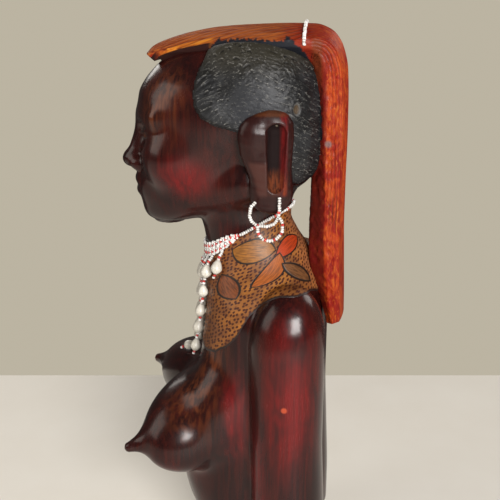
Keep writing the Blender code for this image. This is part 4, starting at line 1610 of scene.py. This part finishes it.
@dataclass
class Choker:
    """The net at the throat, which runs into one string round the nape."""

    axis_y: float = 8.0
    depth: float = 9.5
    net_end: float = 84.0
    lift: float = 1.3
    drop: float = 3.2
    cells: int = 22
    # The height of the middle in front, and how much higher it lies at the nape.
    front_height: float = 256.0
    rise: float = 30.0
    # The net's height where it ends, and how late it shrinks to that.
    end_depth: float = 1.2
    taper: int = 8
    # Where the search outward from the neck's axis starts and ends, and its step.
    rays: tuple[float, float, float] = (14.0, 52.0, 0.2)

    @classmethod
    def height(cls, turn: Array) -> Array:
        """Return the height of the choker's middle at a turn from the front in degrees."""
        return cls.front_height + cls.rise * (1 - np.cos(np.radians(turn))) / 2

    def half(self, turn: Array) -> Array:
        """Return half the net's height, which shrinks to one bead where the net ends."""
        share = np.minimum(1, np.abs(turn) / self.net_end)
        return (self.depth * (1 - share ** self.taper) + self.end_depth * share ** self.taper) / 2

    def on_neck(self, turn: Array, share: Array) -> Array:
        """Find places on the neck: the first point outward from its axis that is clear of it.

        Args:
            turn: turns from the front in degrees.
            share: places across the net, from -1 to 1.

        Returns:
            A place for each.
        """
        angle = np.radians(turn)
        slack = self.drop * (1 - ease(np.abs(turn), 30, self.net_end))
        z = self.height(turn) - slack + share * self.half(turn)
        reach = np.arange(*self.rays)[:, None]
        x = np.sin(angle) * reach
        y = self.axis_y - np.cos(angle) * reach
        gap = HEAD.distance(x, y, np.broadcast_to(z, x.shape))
        first = np.argmax(gap > self.lift, axis=0)
        radius = reach[first, 0]
        return np.stack([np.sin(angle) * radius, self.axis_y - np.cos(angle) * radius, z], 1)

    def build(self, finish: "bpy.types.Material") -> None:
        """Thread the net and the nape string.

        Args:
            finish: the beads' material.
        """
        beads = Beads(seed_radius=1.0, seed_length=1.3)
        span = 2 * self.net_end / self.cells
        t = np.linspace(0, 1, 12)
        for n in range(self.cells):
            start = -self.net_end + n * span
            for first, second in ((-1.0, 0.0), (0.0, -1.0), (1.0, 0.0), (0.0, 1.0)):
                turn = start + span * t * 0.5 + (span / 2 if first == 0.0 else 0.0)
                for middle in (-0.5, 0.5):
                    share = middle + 0.5 * (first + (second - first) * t)
                    beads.string(self.on_neck(turn, share), "rwww" if first == 0.0 else "wwww")
        loop = Beads()
        around = np.linspace(self.net_end, 360 - self.net_end, 240)
        turn = np.where(around > 180, around - 360, around)
        loop.string(self.on_neck(turn, np.zeros_like(turn)), "rwwwwwwwrwwwwwwwwww")
        beads.placed += loop.placed
        make_piece("choker_beads", beads.shape(), finish, ("choker",))


@dataclass
class HangingStrands:
    """The strands of nuts on the chest, each hanging from the choker."""

    # The turn from the front in degrees where each strand hangs, and its nuts.
    strands: Table = ((62, 1), (44, 2), (31, 3), (16, 5), (1, 4), (-16, 6), (-37, 3), (-59, 1))
    lift: float = 4.2
    top_lift: float = 1.5
    axis_y: float = 8.0
    # Where the search outward from the neck's axis starts and ends, and its step.
    rays: tuple[float, float, float] = (16.0, 110.0, 0.2)
    # Lengths along the thread: the first bead's edge, the beads' step above the nuts, the first nut's
    # edge, the room for a nut and the thread beyond the last one.
    first_bead: float = 0.3
    bead_step: float = 1.45
    first_nut: float = 7.2
    nut_room: float = 10.0
    spare: float = 9.0
    # The lengths of thread that give a bead and a nut their way.
    bead_span: float = 1.4
    nut_span: float = 8.0

    def path(self, turn: float, length: float) -> Array:
        """Lay a line down the chest, straight out from the neck's axis and clear of the skin.

        Args:
            turn: the strand's turn from the front in degrees.
            length: how far down it is needed.

        Returns:
            Places along the thread.
        """
        choker = Choker()
        slack = choker.drop * float(1 - ease(np.array(abs(turn)), 30, choker.net_end))
        top = float(choker.height(np.array(turn)) - choker.half(np.array(turn))) - slack - 0.6
        z = np.arange(top + 0.5, top - length, -0.5)
        reach = np.arange(*self.rays)[:, None]
        angle = math.radians(turn)
        x, y = math.sin(angle) * reach, self.axis_y - math.cos(angle) * reach
        first = np.argmax(BODY.distance(x, y, z[None, :]) > 0, axis=0)
        skin = np.stack([x[first, 0], y[first, 0], z], 1)
        lifts = self.top_lift + (self.lift - self.top_lift) * ease(top - z, 0, 6)
        line = skin + BODY.normals(skin) * lifts[:, None]
        for _ in range(12):
            line[1:-1] = (line[:-2] + 2 * line[1:-1] + line[2:]) / 4
        return line

    def build(self, seeds: "bpy.types.Material", nuts: "bpy.types.Material") -> None:
        """Thread seeds and nuts in turn on every strand.

        Args:
            seeds: the seed beads' material.
            nuts: the nuts' material.
        """
        for number, (turn, count) in enumerate(self.strands, start=1):
            beads, shells = Beads(), Beads()
            pitch = self.nut_room + 3 * beads.seed_length
            path = self.path(turn, self.spare + count * pitch)
            fall = run_along(path)

            def spot(at: float, span: float) -> tuple[Array, Array]:
                """Find a place on the path.

                Args:
                    at: the length from its top.
                    span: the length over which the way is taken.

                Returns:
                    The place, and the way there.
                """
                ends = [np.array([np.interp(at + part * span, fall, path[:, n]) for n in range(3)])
                        for part in (-0.5, 0.5)]
                return (ends[0] + ends[1]) / 2, ends[1] - ends[0]

            seed_form, nut_form = beads.seed_form(), shells.nut_form()
            for place, letter in enumerate("wwwrw"):
                at = spot(self.first_bead + self.bead_step * (place + 0.5), self.bead_span)
                beads.put(seed_form, *at, 1.0 if letter == "r" else 0.0)
            for nut in range(int(count)):
                start = self.first_nut + nut * pitch
                here, way = spot(start + self.nut_room / 2, self.nut_span)
                shells.put(nut_form, here, way, 0.0, 0.98 + 0.07 * math.sin(3.7 * nut + number))
                for place, letter in enumerate("wrw" if nut < count - 1 else "rw"):
                    at = spot(start + self.nut_room + beads.seed_length * (place + 0.5), self.bead_span)
                    beads.put(seed_form, *at, 1.0 if letter == "r" else 0.0)
            make_piece(f"strand_{number}_seeds", beads.shape(), seeds, ())
            make_piece(f"strand_{number}_nuts", shells.shape(), nuts, (f"strand_{number}",))


@dataclass
class EarBeads:
    """A string and a ring of beads through each stretched lobe."""

    string: Table = ((48.6, 19, 300), (50.6, 16.4, 296.5), (50.6, 15.6, 291.5), (50.4, 17.6, 287),
                     (50, 22, 284.4), (50, 27, 284.6), (50, 31.5, 287), (50.2, 33.8, 291.5),
                     (50.6, 34.2, 297.5), (49, 34, 303.5))
    ring: Table = ((52.6, 20.5, 285.5), (52.8, 21.5, 280.5), (53, 25, 276.6), (53, 29.5, 276),
                   (53, 34, 278.8), (52.8, 36.6, 283.5), (52.6, 36, 289), (52.4, 34.5, 291.5))

    def build(self, finish: "bpy.types.Material") -> None:
        """Thread both on each side.

        Args:
            finish: the beads' material.
        """
        routes = (("string", self.string, "wwwwwwwwwwwwr"), ("ring", self.ring, "wwwr"))
        for side in Side:
            for kind, route, pattern in routes:
                node = f"ear_{kind}_{side.name.lower()}"
                beads = Beads()
                beads.string(smooth_path(route) * np.array([side.value, 1, 1]), pattern)
                make_piece(f"{node}_beads", beads.shape(), finish, (node,))


@dataclass
class HeaddressString:
    """The white string of beads over the headdress."""

    middle_y: float = 46.5
    # How far the thread lies inside the solid's box, at its sides and top and at its foot.
    inset: float = 1.3
    foot_inset: float = 1.1
    # Half the section over the headdress: the share of the half width, and the fall from the top.
    section: Table = ((0.0, 0.0), (0.36, 0.9), (0.7, 3.4), (0.9, 5.8), (0.99, 8.6), (1.0, 11.5))

    def build(self, finish: "bpy.types.Material") -> None:
        """Lay the beads over the top and down both sides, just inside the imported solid's box.

        Args:
            finish: the beads' material.
        """
        low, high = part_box("headdress_string")
        side = (high[0] - low[0]) * 500 - self.inset
        top = high[2] * 1000 - self.inset
        foot = low[2] * 1000 + self.foot_inset
        half = [(share * side, top - fall) for share, fall in self.section] + [(side, foot)]
        line = [(-x, z) for x, z in half[:0:-1]] + half
        beads = Beads()
        beads.string(smooth_path([(x, self.middle_y, z) for x, z in line]), "w")
        make_piece("headdress_string_beads", beads.shape(), finish, ("headdress_string",))


# The studio.


@dataclass(frozen=True)
class Lamp:
    """A soft square lamp."""

    name: str
    place: tuple[float, float, float]
    target: tuple[float, float, float]
    size: float
    power: float
    colour: Colour


@dataclass
class Studio:
    """Floor, soft lamps, pale surroundings and the camera."""

    lamps: tuple[Lamp, ...] = (
        Lamp("key", (1.05, 0.4, 0.64), (0, 0, 0.24), 0.5, 21.0, (1.0, 0.98, 0.96)),
        Lamp("front", (0.45, -1.25, 0.85), (0, 0, 0.25), 0.9, 6.5, (1.0, 0.94, 0.85)),
        Lamp("back", (-0.75, 0.95, 1.0), (0, 0, 0.25), 0.7, 7.0, (1.0, 0.97, 0.93)),
        Lamp("far", (-1.0, -0.6, 0.9), (0, 0, 0.25), 0.7, 6.0, (1.0, 0.96, 0.90)))
    floor_edge: float = -0.281
    # The surroundings as the camera sees them, and as they light the figure.
    seen: Colour = (0.50, 0.455, 0.36)
    cast: Colour = (0.07, 0.065, 0.06)
    # The camera's turn and height in degrees, its distance, and the point that it looks at.
    yaw: float = 6.0
    pitch: float = 20.0
    away: float = 0.6
    middle_y: float = 0.0105
    middle_z: float = 0.25
    # Millimetres to a pixel, pixels to a side and the sensor's width in millimetres.
    scale: float = 0.7
    pixels: int = 500
    sensor: float = 36.0

    def floor(self) -> None:
        """Lay the pale floor, which ends behind the figure."""
        r = Recipe("pale floor")
        tone = r.noise(r.place(), 60, 3)
        finish = r.finish(r.mix(tone, (0.66, 0.62, 0.55), (0.72, 0.69, 0.63)), 0.55)
        mesh = bpy.data.meshes.new("floor")
        turn = math.radians(self.yaw)
        corners = ((self.floor_edge, -3.0), (3.0, -3.0), (3.0, 3.0), (self.floor_edge, 3.0))
        spots = [(away * math.cos(turn) - wide * math.sin(turn),
                  self.middle_y + away * math.sin(turn) + wide * math.cos(turn), 0.0)
                 for away, wide in corners]
        mesh.from_pydata(spots, [], [(0, 1, 2, 3)])
        mesh.materials.append(finish)
        floor = bpy.data.objects.new("floor", mesh)
        bpy.context.scene.collection.objects.link(floor)

    def world(self) -> None:
        """Set the pale surroundings."""
        world = bpy.data.worlds.new("studio")
        bpy.context.scene.world = world
        world.use_nodes = True
        tree = world.node_tree
        seen = tree.nodes["Background"]
        seen.inputs["Color"].default_value = (*self.seen, 1.0)
        cast = tree.nodes.new("ShaderNodeBackground")
        cast.inputs["Color"].default_value = (*self.cast, 1.0)
        path = tree.nodes.new("ShaderNodeLightPath")
        mixed = tree.nodes.new("ShaderNodeMixShader")
        tree.links.new(path.outputs["Is Camera Ray"], mixed.inputs[0])
        tree.links.new(cast.outputs[0], mixed.inputs[1])
        tree.links.new(seen.outputs[0], mixed.inputs[2])
        tree.links.new(mixed.outputs[0], tree.nodes["World Output"].inputs["Surface"])
        bpy.context.scene.view_settings.view_transform = "Standard"

    def light(self) -> None:
        """Hang the lamps."""
        for lamp in self.lamps:
            data = bpy.data.lights.new(lamp.name, "AREA")
            data.energy = lamp.power
            data.size = lamp.size
            data.color = lamp.colour
            thing = bpy.data.objects.new(lamp.name, data)
            thing.location = lamp.place
            way = np.subtract(lamp.place, lamp.target)
            thing.rotation_euler = look_along(way)
            bpy.context.scene.collection.objects.link(thing)

    def camera(self) -> None:
        """Set the camera: the photograph's angle, about 20 degrees above the figure's left side."""
        pitch, yaw, away = math.radians(self.pitch), math.radians(self.yaw), self.away
        back = (math.cos(pitch) * math.cos(yaw), math.cos(pitch) * math.sin(yaw), math.sin(pitch))
        data = bpy.data.cameras.new("camera")
        data.sensor_width = self.sensor
        data.lens = away / self.scale / self.pixels * 1000 * self.sensor
        thing = bpy.data.objects.new("camera", data)
        thing.location = (away * back[0], self.middle_y + away * back[1], self.middle_z + away * back[2])
        thing.rotation_euler = look_along(np.array(back))
        bpy.context.scene.collection.objects.link(thing)
        bpy.context.scene.camera = thing

    def build(self) -> None:
        """Set up everything."""
        self.floor()
        self.world()
        self.light()
        self.camera()


def look_along(back: Array) -> tuple[float, float, float]:
    """Return the turn of a lamp or camera whose back points along a way, with its top upright."""
    level = math.hypot(back[0], back[1])
    return (math.atan2(level, back[2]), 0.0, math.atan2(back[0], -back[1]))


def main() -> None:
    """Build the studio and every piece in order."""
    logging.basicConfig(level=logging.INFO, format="%(message)s")
    Studio().build()
    seeds, nuts = SeedGlass().material(), NutShell().material()
    CarvedFigure().build()
    CarvedHair().build()
    Headdress().build()
    Collar().build()
    Choker().build(seeds)
    HangingStrands().build(seeds, nuts)
    EarBeads().build(seeds)
    HeaddressString().build(seeds)


if __name__ == "__main__":
    main()
